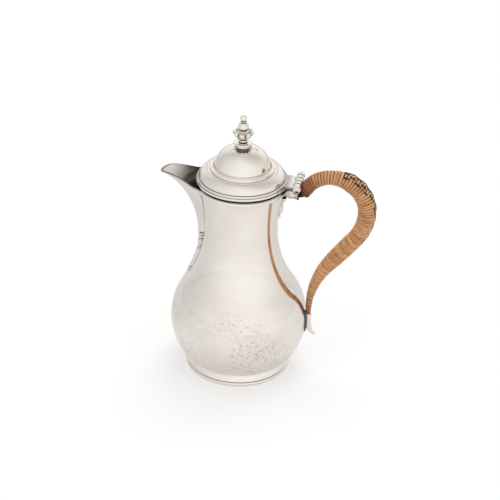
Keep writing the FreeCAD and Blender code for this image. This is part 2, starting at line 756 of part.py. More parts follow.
def lid_rim():
    """Ring at the lid's edge: a half-round band over a shadow step, then a cove up to the cover."""
    inner = bezel_r - 2 * BEZEL_WALL
    band_low = RIM_Z + LID_SHADOW + LID_SEAT
    band_top = band_low + LID_BAND
    band_in = lid_r - LID_BAND_ROUND
    shelf = LID_SHOULDER_R + LID_GROOVE
    edges = [
        line(at(inner, lid_under), at(RIM_R - WALL / 2, lid_under)),
        line(at(RIM_R - WALL / 2, lid_under), at(RIM_R - WALL / 2, band_low)),
        line(at(RIM_R - WALL / 2, band_low), at(band_in, band_low)),
        arc(at(band_in, band_low), at(lid_r, (band_low + band_top) / 2), at(band_in, band_top)),
        arc(at(band_in, band_top),
            at((band_in + shelf) / 2 + LID_GROOVE, (band_top + cover_seat) / 2 + LID_GROOVE),
            at(shelf, cover_seat)),
        line(at(shelf, cover_seat), at(inner, cover_seat)),
        line(at(inner, cover_seat), at(inner, lid_under)),
    ]
    return turned(edges)


def lid_bezel():
    """Plain ring under the lid that drops into the neck."""
    ring = Part.makeCylinder(bezel_r, BEZEL_DEPTH + LID_SEAT, at(0, lid_under - BEZEL_DEPTH - LID_SEAT), UP)
    hole = Part.makeCylinder(bezel_r - BEZEL_WALL, 3 * BEZEL_DEPTH, at(0, lid_under - 2 * BEZEL_DEPTH), UP)
    return ring.cut(hole)


def shoulder_circle():
    """Centre and radius of the lid's rounded shoulder."""
    low = at(LID_SHOULDER_R, cover_seat)
    high = at(LID_STEP_R, step_z)
    chord = high - low
    half = chord.Length / 2
    radius = (half ** 2 + LID_BULGE ** 2) / (2 * LID_BULGE)
    out = at(chord.z, -chord.x).normalize()
    return (low + high) * 0.5 - out * (radius - LID_BULGE), radius


def cover_form(skin, floor_z):
    """The solid inside the lid's cover, set in by skin: shoulder, step, cove and dome."""
    centre, radius = shoulder_circle()
    reach = radius - skin
    low_angle = math.degrees(math.asin((cover_seat - centre.z) / reach))
    high_angle = angle_of(at(LID_STEP_R, step_z) - centre)
    low = centre + at(math.cos(math.radians(low_angle)), math.sin(math.radians(low_angle))) * reach
    high = centre + at(math.cos(math.radians(high_angle)), math.sin(math.radians(high_angle))) * reach
    side = LID_DOME_R - skin
    cove = at(side + LID_COVE, high.z + LID_STEP_RISE)
    dome_centre = at(LID_DOME_R - LID_DOME_ARC, dome_z)
    crown = at(dome_centre.x, crown_z - skin)
    edges = [
        arc_about(centre, reach, low_angle, high_angle),
        line(high, cove),
        line(cove, at(side, dome_z)),
        arc_about(dome_centre, LID_DOME_ARC - skin, 0, 90),
        line(crown, at(0, crown.z)),
        line(at(0, crown.z), at(0, floor_z)),
        line(at(0, floor_z), at(low.x, floor_z)),
    ]
    if floor_z < cover_seat:
        edges.append(line(at(low.x, floor_z), low))
    return turned(edges)


def lid_cover():
    """Raised sheet of the lid with a hole for the finial's stud."""
    hole = Part.makeCylinder(STUD_R + PIN_FIT, 4 * LID_WALL, at(0, crown_z - 2 * LID_WALL), UP)
    return tidy(cover_form(0, cover_seat).cut(cover_form(LID_WALL, cover_seat - LID_WALL)).cut(hole))


def lid_ring():
    """Applied wire round the foot of the dome."""
    wire = Part.makeTorus(LID_RING_R, LID_RING_WIRE, at(0, step_z + LID_RING_WIRE), UP)
    return tidy(wire.cut(cover_form(0, cover_seat)))


def lid_leaf():
    """Plate from the lid's edge to the lid's two knuckles."""
    low = hinge.z - LEAF_T
    clear = HINGE_R + HINGE_GAP
    half = HINGE_LENGTH / 2 - knuckle_w / 2
    parts = [block(RIM_R / 2, hinge.x - clear, -half, half, low, hinge.z)]
    for start, length in knuckles(1):
        parts.append(barrel(HINGE_R, start, length))
        parts.append(block(hinge.x - clear - HINGE_GAP, hinge.x, start, start + length, low, hinge.z))
    plug = Part.makeCylinder(bezel_r, 2 * LID_RIM_H, at(0, lid_under), UP)
    hole = barrel(HINGE_PIN_R + HINGE_RUN, -HINGE_LENGTH, 2 * HINGE_LENGTH)
    return tidy(fused(parts).cut(plug).cut(lid_rim()).cut(cover_form(0, cover_seat)).cut(hole))


# Finial: levels from the crown of the dome upwards
disc_z = crown_z + FINIAL_COLLAR_H
stem_z = disc_z + FINIAL_DISC_H
calyx_z = stem_z + FINIAL_STEM_H
knop_z = calyx_z + CALYX_H + KNOP_R - KNOP_SINK
bead_z = knop_z + KNOP_R + KNOP_NECK_H + BEAD_R


def stud_hole(low, high):
    return Part.makeCylinder(STUD_R + PIN_FIT, high - low, at(0, low), UP)


def finial_base():
    """Turned foot of the finial: collar, disc, stem and a small ring."""
    ring_z = stem_z + FINIAL_STEM_H / 2
    ring_h = FINIAL_RING_R - FINIAL_STEM_R
    half = FINIAL_DISC_H / 2
    edge = FINIAL_DISC_R - half
    edges = [
        line(at(0, crown_z), at(FINIAL_COLLAR_R, crown_z)),
        arc(at(FINIAL_COLLAR_R, crown_z),
            at(FINIAL_COLLAR_R - FINIAL_COLLAR_H / 2, crown_z + FINIAL_COLLAR_H / 2),
            at(FINIAL_COLLAR_R, disc_z)),
        line(at(FINIAL_COLLAR_R, disc_z), at(edge, disc_z)),
        arc_about(at(edge, disc_z + half), half, -90, 90),
        arc(at(edge, stem_z), at(FINIAL_STEM_R + ring_h, stem_z + ring_h / 2),
            at(FINIAL_STEM_R, ring_z - ring_h)),
        arc_about(at(FINIAL_STEM_R, ring_z), ring_h, -90, 90),
        line(at(FINIAL_STEM_R, ring_z + ring_h), at(FINIAL_STEM_R, calyx_z)),
        line(at(FINIAL_STEM_R, calyx_z), at(0, calyx_z)),
        line(at(0, calyx_z), at(0, crown_z)),
    ]
    return tidy(turned(edges).cut(stud_hole(crown_z - LID_WALL, calyx_z + LID_WALL)))


def finial_calyx():
    """Cast cup of leaves: a swelling bell with a curled lobe at the end of each leaf."""
    edge_z = calyx_z + CALYX_H * CALYX_EDGE_H
    lip = at(CALYX_R - CALYX_LOBE_R, calyx_z + CALYX_H)
    edges = [
        line(at(0, calyx_z), at(FINIAL_STEM_R, calyx_z)),
        arc(at(FINIAL_STEM_R, calyx_z), at(CALYX_R * CALYX_SWELL, calyx_z + CALYX_H * CALYX_SWELL_H),
            at(CALYX_R, edge_z)),
        line(at(CALYX_R, edge_z), lip),
        line(lip, at(0, lip.z)),
        line(at(0, lip.z), at(0, calyx_z)),
    ]
    cup = turned(edges)
    for i in range(CALYX_LOBES):
        turn = 2 * math.pi * i / CALYX_LOBES
        middle = FreeCAD.Vector(CALYX_R * math.cos(turn), CALYX_R * math.sin(turn), edge_z)
        cup = cup.fuse(Part.makeSphere(CALYX_LOBE_R, middle))
    seat = Part.makeSphere(KNOP_R + PIN_FIT, at(0, knop_z))
    return tidy(cup.cut(seat).cut(stud_hole(calyx_z - LID_WALL, lip.z + LID_WALL)))


def finial_knop():
    """Turned ball with a ringed neck and a bead on top, drilled for the stud."""
    ball = Part.makeSphere(KNOP_R, at(0, knop_z))
    neck = Part.makeCylinder(KNOP_NECK_R, bead_z - knop_z, at(0, knop_z), UP)
    ring = Part.makeTorus(KNOP_NECK_R, KNOP_RING_WIRE, at(0, knop_z + KNOP_R + KNOP_RING_H), UP)
    bead = Part.makeSphere(BEAD_R, at(0, bead_z))
    return tidy(ball.fuse(neck).fuse(ring).fuse(bead).cut(stud_hole(knop_z - 2 * KNOP_R, knop_z + PIN_FIT)))


def finial_stud():
    low = crown_z - LID_WALL - WASHER_H - NUT_H - STUD_R
    return Part.makeCylinder(STUD_R, knop_z - low, at(0, low), UP)


def finial_washer():
    """Flat washer on the level middle of the dome's inside."""
    low = crown_z - LID_WALL - WASHER_H
    radius = LID_DOME_R - LID_DOME_ARC - WASHER_CLEAR
    return Part.makeCylinder(radius, WASHER_H, at(0, low), UP).cut(stud_hole(low - LID_WALL, crown_z))


def finial_nut():
    low = crown_z - LID_WALL - WASHER_H - NUT_H
    turns = [math.radians(60 * i) for i in range(6)]
    corners = [FreeCAD.Vector(NUT_R * math.cos(turn), NUT_R * math.sin(turn), low) for turn in turns]
    hexagon = Part.Face(Part.Wire(outline(corners))).extrude(UP * NUT_H)
    return hexagon.cut(stud_hole(low - LID_WALL, crown_z))


PIECES = {
    "body_shell": body_shell,
    "foot_ring": foot_ring,
    "neck_rim": neck_rim,
    "spout": spout,
    "spout_drop": spout_drop,
    "upper_socket": upper_socket,
    "socket_drop": socket_drop,
    "lower_socket": lower_socket,
    "handle_core": handle_core,
    "cane_binding": cane_binding,
    "cane_lacing": cane_lacing,
    "upper_socket_pin": upper_pin,
    "lower_socket_pin": lower_pin,
    "hinge_saddle": hinge_saddle,
    "hinge_pin": hinge_pin,
    "lid_leaf": lid_leaf,
    "lid_rim": lid_rim,
    "lid_bezel": lid_bezel,
    "lid_cover": lid_cover,
    "lid_ring": lid_ring,
    "finial_base": finial_base,
    "finial_calyx": finial_calyx,
    "finial_knop": finial_knop,
    "finial_stud": finial_stud,
    "finial_washer": finial_washer,
    "finial_nut": finial_nut,
}

os.makedirs("parts", exist_ok=True)
for name, make in PIECES.items():
    shape = make()
    shape.exportStep("parts/%s.step" % name)
    print("%-18s solids %d  valid %s  volume %.1f" % (name, len(shape.Solids), shape.isValid(), shape.Volume))
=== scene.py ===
import math

import bmesh
import bpy
from mathutils import Matrix, Vector


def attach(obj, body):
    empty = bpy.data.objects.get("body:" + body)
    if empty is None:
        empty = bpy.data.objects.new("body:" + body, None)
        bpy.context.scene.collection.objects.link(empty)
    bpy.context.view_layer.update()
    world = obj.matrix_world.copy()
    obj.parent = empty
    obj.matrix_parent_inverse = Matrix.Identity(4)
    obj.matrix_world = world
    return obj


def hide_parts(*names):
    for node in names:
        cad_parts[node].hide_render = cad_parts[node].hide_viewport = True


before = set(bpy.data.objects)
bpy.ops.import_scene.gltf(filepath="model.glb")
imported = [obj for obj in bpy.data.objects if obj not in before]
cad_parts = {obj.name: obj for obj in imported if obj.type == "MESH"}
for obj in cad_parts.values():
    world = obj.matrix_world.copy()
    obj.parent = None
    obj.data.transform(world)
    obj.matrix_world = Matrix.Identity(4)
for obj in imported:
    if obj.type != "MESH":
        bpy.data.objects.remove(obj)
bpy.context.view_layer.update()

# Foot ring: a strip of silver spread to a hollow flare over a rounded bead, soldered under the body.
# It is turned from one outline. As the first piece it also brings the helpers that later pieces share.
MM = 0.001
foot_top_r, foot_edge_r, foot_height = 37.9, 40.1, 10.0
foot_bead, foot_bead_reach, foot_wall, foot_groove = 1.7, 0.65, 2.2, 0.5


def arc_points(centre, radius, start, end, count):
    """Points along an arc of a half outline, in millimetres, with degrees from outwards to upwards."""
    turns = [math.radians(start + (end - start) * i / count) for i in range(count + 1)]
    return [(centre[0] + radius * math.cos(t), centre[1] + radius * math.sin(t)) for t in turns]


def curve_point(poles, share):
    """Point at a share of the way along a cubic curve from its first pole to its last."""
    a, b, c, d = [Vector(pole) for pole in poles]
    left = 1 - share
    return a * left ** 3 + b * 3 * share * left ** 2 + c * 3 * share * share * left + d * share ** 3


def curve_points(poles, count):
    """Points along a cubic curve, with both of its ends."""
    return [tuple(curve_point(poles, i / count)) for i in range(count + 1)]


def finished(name, shape, sharp=35):
    """Turn a bmesh into a smooth-shaded object whose edges over the sharp angle stay crisp."""
    mesh = bpy.data.meshes.new(name)
    shape.to_mesh(mesh)
    shape.free()
    mesh.shade_smooth()
    mesh.set_sharp_from_angle(angle=math.radians(sharp))
    piece = bpy.data.objects.new(name, mesh)
    bpy.context.scene.collection.objects.link(piece)
    return piece


def face_outwards(shape):
    """Turn the faces of a shape outwards."""
    bmesh.ops.recalc_face_normals(shape, faces=shape.faces)


def spun_shape(outline, axis="Z", centre=(0, 0, 0), closed=True, steps=160, first=0.0, sweep=360.0):
    """Spin a half outline of (radius, along) points in millimetres about an axis through a point."""
    along = Vector([float(axis == name) for name in "XYZ"])
    out = Vector((1, 0, 0)) if axis == "Z" else Vector((0, 0, 1))
    out = Matrix.Rotation(math.radians(first), 3, along) @ out
    middle = Vector(centre) * MM
    shape = bmesh.new()
    ring = [shape.verts.new(middle + out * r * MM + along * a * MM) for r, a in outline]
    pairs = zip(ring, ring[1:] + ring[:1]) if closed else zip(ring, ring[1:])
    edges = [shape.edges.new(pair) for pair in pairs]
    bmesh.ops.spin(shape, geom=ring + edges, cent=middle, axis=along, dvec=(0, 0, 0),
                   angle=math.radians(sweep), steps=steps, use_merge=sweep >= 360, use_duplicate=False)
    bmesh.ops.remove_doubles(shape, verts=shape.verts, dist=1e-7)
    face_outwards(shape)
    return shape


def feed(node, inputs):
    """Link outputs to a node's inputs, or set the inputs to plain values."""
    for socket, value in inputs.items():
        if isinstance(value, bpy.types.NodeSocket):
            node.id_data.links.new(value, node.inputs[socket])
        else:
            node.inputs[socket].default_value = value


def add_node(tree, kind, inputs=None, **settings):
    """Add a shader node, feed it and give back its outputs."""
    node = tree.nodes.new("ShaderNode" + kind)
    for setting, value in settings.items():
        setattr(node, setting, value)
    feed(node, inputs or {})
    return node.outputs


def noise(place, scale, detail):
    """A cloudy value from 0 to 1."""
    return add_node(place.id_data, "TexNoise", {"Vector": place, "Scale": scale, "Detail": detail})["Fac"]


def remap(value, *limits):
    """Carry a value from one range to another, given as from low, from high, to low and to high."""
    names = ("From Min", "From Max", "To Min", "To Max")
    return add_node(value.id_data, "MapRange", {"Value": value, **dict(zip(names, limits))})["Result"]


def combine(operation, first, second=0.0):
    """Join two values by a product, a comparison or the like."""
    return add_node(first.id_data, "Math", {0: first, 1: second}, operation=operation)["Value"]


def mark_value(tree, mark):
    """The value of a mark that the points of a piece carry, 0 where it has none."""
    return add_node(tree, "Attribute", attribute_name=mark)["Fac"]


def ramp(value, *stops):
    """A colour that runs through stops of (value, colour)."""
    node = value.id_data.nodes.new("ShaderNodeValToRGB")
    feed(node, {"Fac": value})
    elements = node.color_ramp.elements
    for element, (stop, colour) in zip((elements[0], elements[1]), (stops[0], stops[-1])):
        element.position = stop
        element.color = (*colour, 1)
    for stop, colour in stops[1:-1]:
        elements.new(stop).color = (*colour, 1)
    return node.outputs["Color"]


def stain_and_shade(base, amount, over, blend_type="MIX"):
    """Lay a plain or patterned colour over another by an amount from 0 to 1: a stain, or painted shade."""
    inputs = {"Factor": amount, "A": base, "B": (*over, 1) if isinstance(over, tuple) else over}
    return add_node(base.id_data, "Mix", inputs, data_type="RGBA", blend_type=blend_type)["Result"]


def new_finish(name):
    """A fresh material with its node tree and its surface shader."""
    finish = bpy.data.materials.new(name)
    finish.use_nodes = True
    return finish, finish.node_tree, finish.node_tree.nodes["Principled BSDF"]


def silver_finish(name, tone=(0.915, 0.867, 0.812), polish=0.10, shade="shade_and_tarnish",
                  shade_colour=(0.006, 0.005, 0.004), mirror=1.0):
    """Polished silver: a warm mirror with handling haze, specks, scratches and painted shade in its
    hollows.

    The tone is its colour, polish its roughness and mirror how far it is bare metal. The mark that shade
    names paints shade and tarnish in the shade colour, and the mark wear brings specks and scratches."""
    finish, tree, shader = new_finish(name)
    place = add_node(tree, "TexCoord")["Object"]
    haze = noise(place, 38.0, 4.0)
    hazy_tone = (tone[0] * 0.94, tone[1] * 0.92, tone[2] * 0.89)
    colour = ramp(haze, (0.3, hazy_tone), (0.62, tone))

    patch = combine("MULTIPLY", noise(place, 24.0, 7.0), mark_value(tree, "wear"))
    pits = add_node(tree, "TexVoronoi", {"Vector": place, "Scale": 2100.0})
    struck = combine("LESS_THAN", pits["Color"], remap(patch, 0.29, 0.50, 0.02, 0.65))
    pit_size = remap(noise(place, 330.0, 2.0), 0.3, 0.7, 0.1, 0.6)
    specks = combine("MULTIPLY", struck, combine("LESS_THAN", pits["Distance"], pit_size))
    colour = stain_and_shade(colour, combine("MULTIPLY", specks, 0.75), (0.24, 0.165, 0.105))

    line = combine("ABSOLUTE", combine("SUBTRACT", noise(place, 95.0, 1.0), 0.5))
    scratch = combine("LESS_THAN", line, remap(patch, 0.37, 0.52, 0.0, 0.004))
    colour = stain_and_shade(colour, combine("MULTIPLY", scratch, 0.5), (0.40, 0.34, 0.28))

    # Painted shade, with tarnish, in the hollows that the shade mark names
    colour = stain_and_shade(colour, mark_value(tree, shade), shade_colour)
    roughness = remap(haze, 0.35, 0.75, polish * 0.75, polish * 1.6)
    feed(shader, {"Base Color": colour, "Roughness": roughness, "Metallic": mirror})
    return finish


def darken(shape, amount_at, mark="shade_and_tarnish"):
    """Store the painted shade and tarnish, or the wear, of each point of a piece, from a function of its
    place in millimetres.
    """
    layer = shape.verts.layers.float.get(mark) or shape.verts.layers.float.new(mark)
    for vert in shape.verts:
        vert[layer] = min(max(amount_at(vert.co / MM), vert[layer]), 1)


def ring_marks(*marks):
    """Painted shade and tarnish round the pot's axis from marks of (radius, height, reach, amount) in
    millimetres.
    """
    def amount_at(place):
        here = Vector((place.xy.length, place.z))
        return max(amount * (1 - (here - Vector((r, z))).length / reach) for r, z, reach, amount in marks)
    return amount_at


def dress(piece, body, slot, finish, *nodes):
    """Give a piece its material, its body and the CAD nodes that it stands for; its slot is not used."""
    piece.data.materials.append(finish)
    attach(piece, body)
    if nodes:
        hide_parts(*nodes)
    return piece


def silver_piece(name, shape, body, *nodes, sharp=35):
    """Finish a piece in polished silver and set it on its body."""
    return dress(finished(name, shape, sharp), body, "silver", silver, *nodes)


silver = silver_finish("polished_silver")
groove_z = 2 * foot_bead + foot_groove
bead_in = foot_edge_r - foot_bead + foot_bead_reach
foot_outline = [(foot_top_r - foot_wall, foot_height)]
foot_outline += curve_points([(foot_top_r, foot_height), (foot_top_r - 0.1, foot_height - 2.2),
                              (foot_edge_r - 1.0, groove_z + 1.6), (foot_edge_r, groove_z)], 14)
foot_outline += [(foot_edge_r - 0.1, groove_z - 0.15), (foot_edge_r - foot_groove, groove_z - 0.2),
                 (foot_edge_r - foot_groove, 2 * foot_bead + 0.1)]
foot_outline += arc_points((bead_in, foot_bead), foot_bead, 90, -90, 16)
foot_outline += [(foot_top_r - foot_wall, 0)]
foot = spun_shape(foot_outline, steps=192)
# Painted shade and tarnish in the groove over the bead and at the joint under the body
darken(foot, ring_marks((foot_edge_r - foot_groove, groove_z - 0.3, 0.7, 1.0),
                        (foot_top_r, foot_height, 0.8, 0.7)))
silver_piece("foot_ring_turned", foot, "pot", "foot_ring")

# Body shell: one sheet of silver, about a millimetre thick, raised with hammers into a belly and a neck.
# Its outline is four tangent arcs, and the throat behind the spout is cut out of the neck.
# The outside is polished and worn most on the belly, and the inside is left dull.
wall = 1.1
base_corner, belly_r, belly_z, belly_arc = 6.0, 52.6, 42.0, 50.0
neck_r, neck_z, rim_r, rim_z = 28.0, 121.0, 34.5, 158.5
belly_wear, belly_wear_z, belly_wear_fade = 0.75, 45.0, 66.0


def bearing(start, end):
    """Degrees, from outwards to upwards, of the line from one point to another."""
    return math.degrees(math.atan2(end[1] - start[1], end[0] - start[0]))


belly_centre = (belly_r - belly_arc, belly_z)
corner_z = foot_height + base_corner
corner_out = math.sqrt((belly_arc - base_corner) ** 2 - (belly_z - corner_z) ** 2)
corner_centre = (belly_centre[0] + corner_out, corner_z)
waist_in, waist_up = neck_r - belly_centre[0], neck_z - belly_z
waist_arc = (waist_in ** 2 + waist_up ** 2 - belly_arc ** 2) / (2 * (belly_arc - waist_in))
mouth_arc = ((rim_r - neck_r) ** 2 + (rim_z - neck_z) ** 2) / (2 * (rim_r - neck_r))
to_corner = bearing(belly_centre, corner_centre)
to_waist = bearing(belly_centre, (neck_r + waist_arc, neck_z))
to_rim = 180 - math.degrees(math.asin((rim_z - neck_z) / mouth_arc))

spout_foot_z = rim_z - 45.5
spout_foot_half, spout_rim_half = 6.0, 21.5
throat_inset, throat_floor = 2.2, 122.0


def spout_half(z):
    """Half width of the spout's root on the neck at a height in millimetres."""
    share = min(max((z - spout_foot_z) / (rim_z - spout_foot_z), 0), 1)
    return spout_foot_half + (spout_rim_half - spout_foot_half) * share


def give_wall(piece, thickness, inside=None):
    """Thicken a sheet inwards by millimetres, with its own finish on the inside if one is named."""
    sheet = piece.modifiers.new("sheet", "SOLIDIFY")
    sheet.thickness = thickness * MM
    sheet.offset = -1
    if inside:
        sheet.material_offset = 1
        piece.data.materials.append(inside)


body_outline = [(0, foot_height), (12, foot_height), (26, foot_height)]
body_outline += arc_points(corner_centre, base_corner, -90, to_corner, 8)
body_outline += arc_points(belly_centre, belly_arc, to_corner, to_waist, 54)[1:]
body_outline += arc_points((neck_r + waist_arc, neck_z), waist_arc, to_waist + 180, 180, 34)[1:]
body_outline += arc_points((neck_r + mouth_arc, neck_z), mouth_arc, 180, to_rim, 26)[1:]
body_steps, throat_steps = 192, 20
body = spun_shape(body_outline, closed=False, steps=body_steps, first=180)
bmesh.ops.reverse_faces(body, faces=body.faces)
throat_edge = 2 * math.pi * throat_steps / body_steps
for vert in body.verts:
    z = vert.co.z / MM
    if z < spout_foot_z:
        continue
    radius = math.hypot(vert.co.x, vert.co.y)
    angle = math.atan2(vert.co.y, -vert.co.x)
    opening = math.asin((spout_half(z) - throat_inset) * MM / radius)
    if abs(angle) <= throat_edge:
        moved = abs(angle) / throat_edge * opening
    else:
        moved = opening + (abs(angle) - throat_edge) * (math.pi - opening) / (math.pi - throat_edge)
    fade = min((z - spout_foot_z) / (throat_floor - spout_foot_z), 1)
    turn = math.copysign(abs(angle) + (moved - abs(angle)) * fade, angle)
    vert.co.x, vert.co.y = -radius * math.cos(turn), radius * math.sin(turn)
throat = []
for face in body.faces:
    middle = face.calc_center_median()
    opening = math.asin(min(1, (spout_half(middle.z / MM) - throat_inset) * MM / middle.xy.length))
    if middle.z / MM > throat_floor and abs(math.atan2(middle.y, -middle.x)) < opening:
        throat.append(face)
bmesh.ops.delete(body, geom=throat, context="FACES")
darken(body, lambda place: min(belly_wear, 1.0 - (place.z - belly_wear_z) / belly_wear_fade), mark="wear")
body_piece = silver_piece("body_raised", body, "pot", "body_shell", sharp=60)
dull_silver = silver_finish("dull_silver", tone=(0.68, 0.62, 0.55), polish=0.30)
give_wall(body_piece, wall, dull_silver)

# Neck rim: a half-round silver wire soldered round the mouth to stiffen it.
# It stops at both sides of the spout, with its inner half sunk in the neck's wall.
rim_wire, wire_sink, wire_overlap = 1.5, 0.3, 1.5


def neck_radius(z):
    """Outer radius of the body above the widest part of the belly, at a height in millimetres."""
    if z > neck_z:
        return neck_r + mouth_arc - math.sqrt(mouth_arc ** 2 - (z - neck_z) ** 2)
    join_z = belly_z + belly_arc * math.sin(math.radians(to_waist))
    if z > join_z:
        return neck_r + waist_arc - math.sqrt(waist_arc ** 2 - (z - neck_z) ** 2)
    return belly_centre[0] + math.sqrt(belly_arc ** 2 - (z - belly_z) ** 2)


wire_z = rim_z - rim_wire
wire_foot_z = wire_z - rim_wire
wire_foot_r = neck_radius(wire_foot_z)
rim_stop = math.degrees(math.asin((spout_rim_half - wire_overlap) / rim_r))
wire_outline = arc_points((neck_radius(wire_z), wire_z), rim_wire, -90, 90, 12)
wire_outline += [(neck_radius(rim_z) - wire_sink, rim_z - 0.05), (wire_foot_r - wire_sink, wire_foot_z)]
wire_shape = spun_shape(wire_outline, steps=150, first=180 + rim_stop, sweep=360 - 2 * rim_stop - 0.001)
bmesh.ops.holes_fill(wire_shape, edges=wire_shape.edges)
# Painted shade under the wire, and black painted shade along its top inner edge under the lid
darken(wire_shape, ring_marks((wire_foot_r, wire_foot_z, 0.8, 0.6), (rim_r - 0.3, rim_z, 0.7, 1.3)))
silver_piece("neck_rim_wire", wire_shape, "pot", "neck_rim")

# Beak spout: a folded sheet of silver soldered over the throat, open on top, its lip curled at the tip.
# Level outlines follow the keel's curve, and every column of the sheet ends on the lip's edge.
# The soldered seam carries painted shade and tarnish, and the lip's edge is darkened. The inside is satin,
# with painted shade that deepens towards the neck and along the lip.
spout_wall, spout_nose, spout_flare, spout_splay = 1.1, 3.6, 0.4, 24.0
spout_tip = Vector((rim_r + 27.9, rim_z + 3.2))
keel_poles = [Vector((neck_r + 5.1, spout_foot_z)), Vector((neck_r + 5.1, spout_foot_z + 22.0)),
              spout_tip - Vector((17.3, 6.7)), spout_tip]
lip_start = Vector((rim_r + 1.0, rim_z))
lip_poles = [lip_start, lip_start + Vector((7.5, 3.0)), spout_tip + Vector((-6.4, 4.8)), spout_tip]
lip_reach = 6.0
keel_line = [Vector(p) for p in curve_points(keel_poles, 60)]
keel_line.append(spout_tip + (spout_tip - keel_poles[2]))
lip_line = [Vector(p) for p in curve_points(lip_poles, 60)]
seam_shade, lip_seam = (0.5, 0.35, 0.0), 0.75
throat_from, throat_run, throat_shade_most, lip_inside_shade = 6.0, 15.0, 0.9, 0.7


def along_line(points, value, key):
    """Read the other coordinate of a curve where its key coordinate reaches a value."""
    for a, b in zip(points, points[1:]):
        if value <= b[key]:
            break
    share = (value - a[key]) / (b[key] - a[key])
    return a[1 - key] + (b[1 - key] - a[1 - key]) * share


def spout_point(across, z):
    """A point of the sheet at a height: across runs from -1 at one root, through the nose, to 1."""
    nose = along_line(keel_line, z, 1)
    root_r = neck_radius(min(z, rim_z)) - wall / 2
    half = spout_half(z)
    root_x = math.sqrt(root_r ** 2 - half ** 2)
    lean = math.asin(half / root_r) + math.radians(spout_splay)
    flare = spout_flare * math.hypot(nose - root_x, half)
    poles = [(nose, 0), (nose, spout_nose),
             (root_x + flare * math.sin(lean), half - flare * math.cos(lean)), (root_x, half)]
    flat = curve_point(poles, abs(across))
    return Vector((-flat.x, math.copysign(flat.y, across), z))


def lip_height(across):
    """Height where a column of the sheet meets the lip's edge, found by halving."""
    low, high = spout_foot_z, rim_z + lip_reach
    for _ in range(40):
        z = (low + high) / 2
        x = -spout_point(across, z).x
        edge = rim_z if x <= lip_start.x else along_line(lip_line, min(x, spout_tip.x), 0)
        low, high = (z, high) if z < edge else (low, z)
    return low


spout = bmesh.new()
columns, rows = 48, 46
shares = [2 * i / columns - 1 for i in range(columns + 1)]
tops = [lip_height(share) for share in shares]
loops = []
for row in range(rows + 1):
    rise = 1 - (1 - row / rows) ** 1.5
    heights = [spout_foot_z + (top - spout_foot_z) * rise for top in tops]
    chain = [spout.verts.new(spout_point(s, z) * MM) for s, z in zip(shares, heights)]
    loops.append([spout.edges.new(pair) for pair in zip(chain, chain[1:])])
for low, high in zip(loops, loops[1:]):
    bmesh.ops.bridge_loops(spout, edges=low + high)
bmesh.ops.contextual_create(spout, geom=loops[0])
face_outwards(spout)
bmesh.ops.reverse_faces(spout, faces=spout.faces)
# Painted shade and tarnish along the seam at the neck and a darkened lip edge outside, painted shade inside
seam = spout.verts.layers.float.new("shade_and_tarnish")
throat_shade = spout.verts.layers.float.new("throat_shade")
for vert in spout.verts:
    vert[throat_shade] = min(max((spout_tip.x + vert.co.x / MM - throat_from) / throat_run, 0), throat_shade_most)
for row, loop in enumerate(loops):
    for column, edge in enumerate(loop):
        root = min(column, columns - 1 - column, 2)
        for vert in edge.verts:
            vert[seam] = max(vert[seam], seam_shade[root], lip_seam if row == rows else 0)
            vert[throat_shade] = max(vert[throat_shade], lip_inside_shade if row > rows - 3 else 0)
spout_piece = silver_piece("spout_beak", spout, "pot", "spout", sharp=50)
# The inside: satin silver that goes to a brown painted shade by the throat mark
throat_silver = silver_finish("throat_silver", tone=(0.93, 0.89, 0.84), polish=0.26, shade="throat_shade",
                              shade_colour=(0.12, 0.095, 0.075), mirror=0.6)
give_wall(spout_piece, spout_wall, throat_silver)

# Spout drop: a cast silver ornament under the spout: two mouldings, a leaf bud, a long strap and two beads.
# It is soldered to the neck, and is made as a grid laid on the neck that swells part by part.
spout_drop_knots = [(0, 5.2, 4.4), (1.3, 5.2, 4.5), (1.9, 4.4, 3.3), (2.5, 4.6, 3.4), (3.0, 5.0, 4.3),
                    (3.9, 5.0, 4.2), (4.6, 4.4, 2.7), (7.8, 5.4, 3.7), (11.0, 4.8, 3.2), (13.2, 3.7, 2.1),
                    (15.5, 4.4, 2.9), (31, 3.3, 2.5), (31.9, 2.2, 1.3), (33.5, 2.8, 2.6), (35.1, 1.7, 1.3),
                    (36.5, 2.0, 2.0), (38.1, 0.3, 0.1)]


def relief_shape(knots, top, side, across=20, down=150, sink=0.35):
    """A cast ornament on the body from knots of (way down, half width, rise) in millimetres."""
    look_round, step_shade_gain, most_shade, edge_power = 1.2, 0.45, 0.85, 8

    def at_fall(fall):
        """Half width and rise of the ornament at a way down it."""
        for low, high in zip(knots, knots[1:]):
            if fall <= high[0] + 1e-9:
                break
        share = min(max((fall - low[0]) / (high[0] - low[0]), 0), 1)
        share = share * share * (3 - 2 * share)
        return low[1] + (high[1] - low[1]) * share, low[2] + (high[2] - low[2]) * share

    shape = bmesh.new()
    bmesh.ops.create_grid(shape, x_segments=across, y_segments=down, size=1.0)
    shade_and_tarnish = shape.verts.layers.float.new("shade_and_tarnish")
    for vert in shape.verts:
        fall = knots[-1][0] * (1 - vert.co.y) / 2
        half, rise = at_fall(fall)
        # Painted shade: darker beside a higher part of the ornament and towards its edges on the neck
        near = max(at_fall(fall - look_round)[1], at_fall(fall + look_round)[1])
        edge_shade = most_shade * abs(vert.co.x) ** edge_power
        vert[shade_and_tarnish] = min(most_shade, max(0, near - rise) * step_shade_gain + edge_shade)
        lean = vert.co.x * math.pi / 2
        radius = neck_radius(top - fall) - sink + (rise + sink) * math.cos(lean)
        turn = half * math.sin(lean) / neck_radius(top - fall)
        vert.co = Vector((side * radius * math.cos(turn), radius * math.sin(turn), top - fall)) * MM
    bmesh.ops.holes_fill(shape, edges=[edge for edge in shape.edges if edge.is_boundary])
    face_outwards(shape)
    return shape


spout_drop = relief_shape(spout_drop_knots, spout_foot_z, -1)
silver_piece("spout_drop_cast", spout_drop, "pot", "spout_drop")

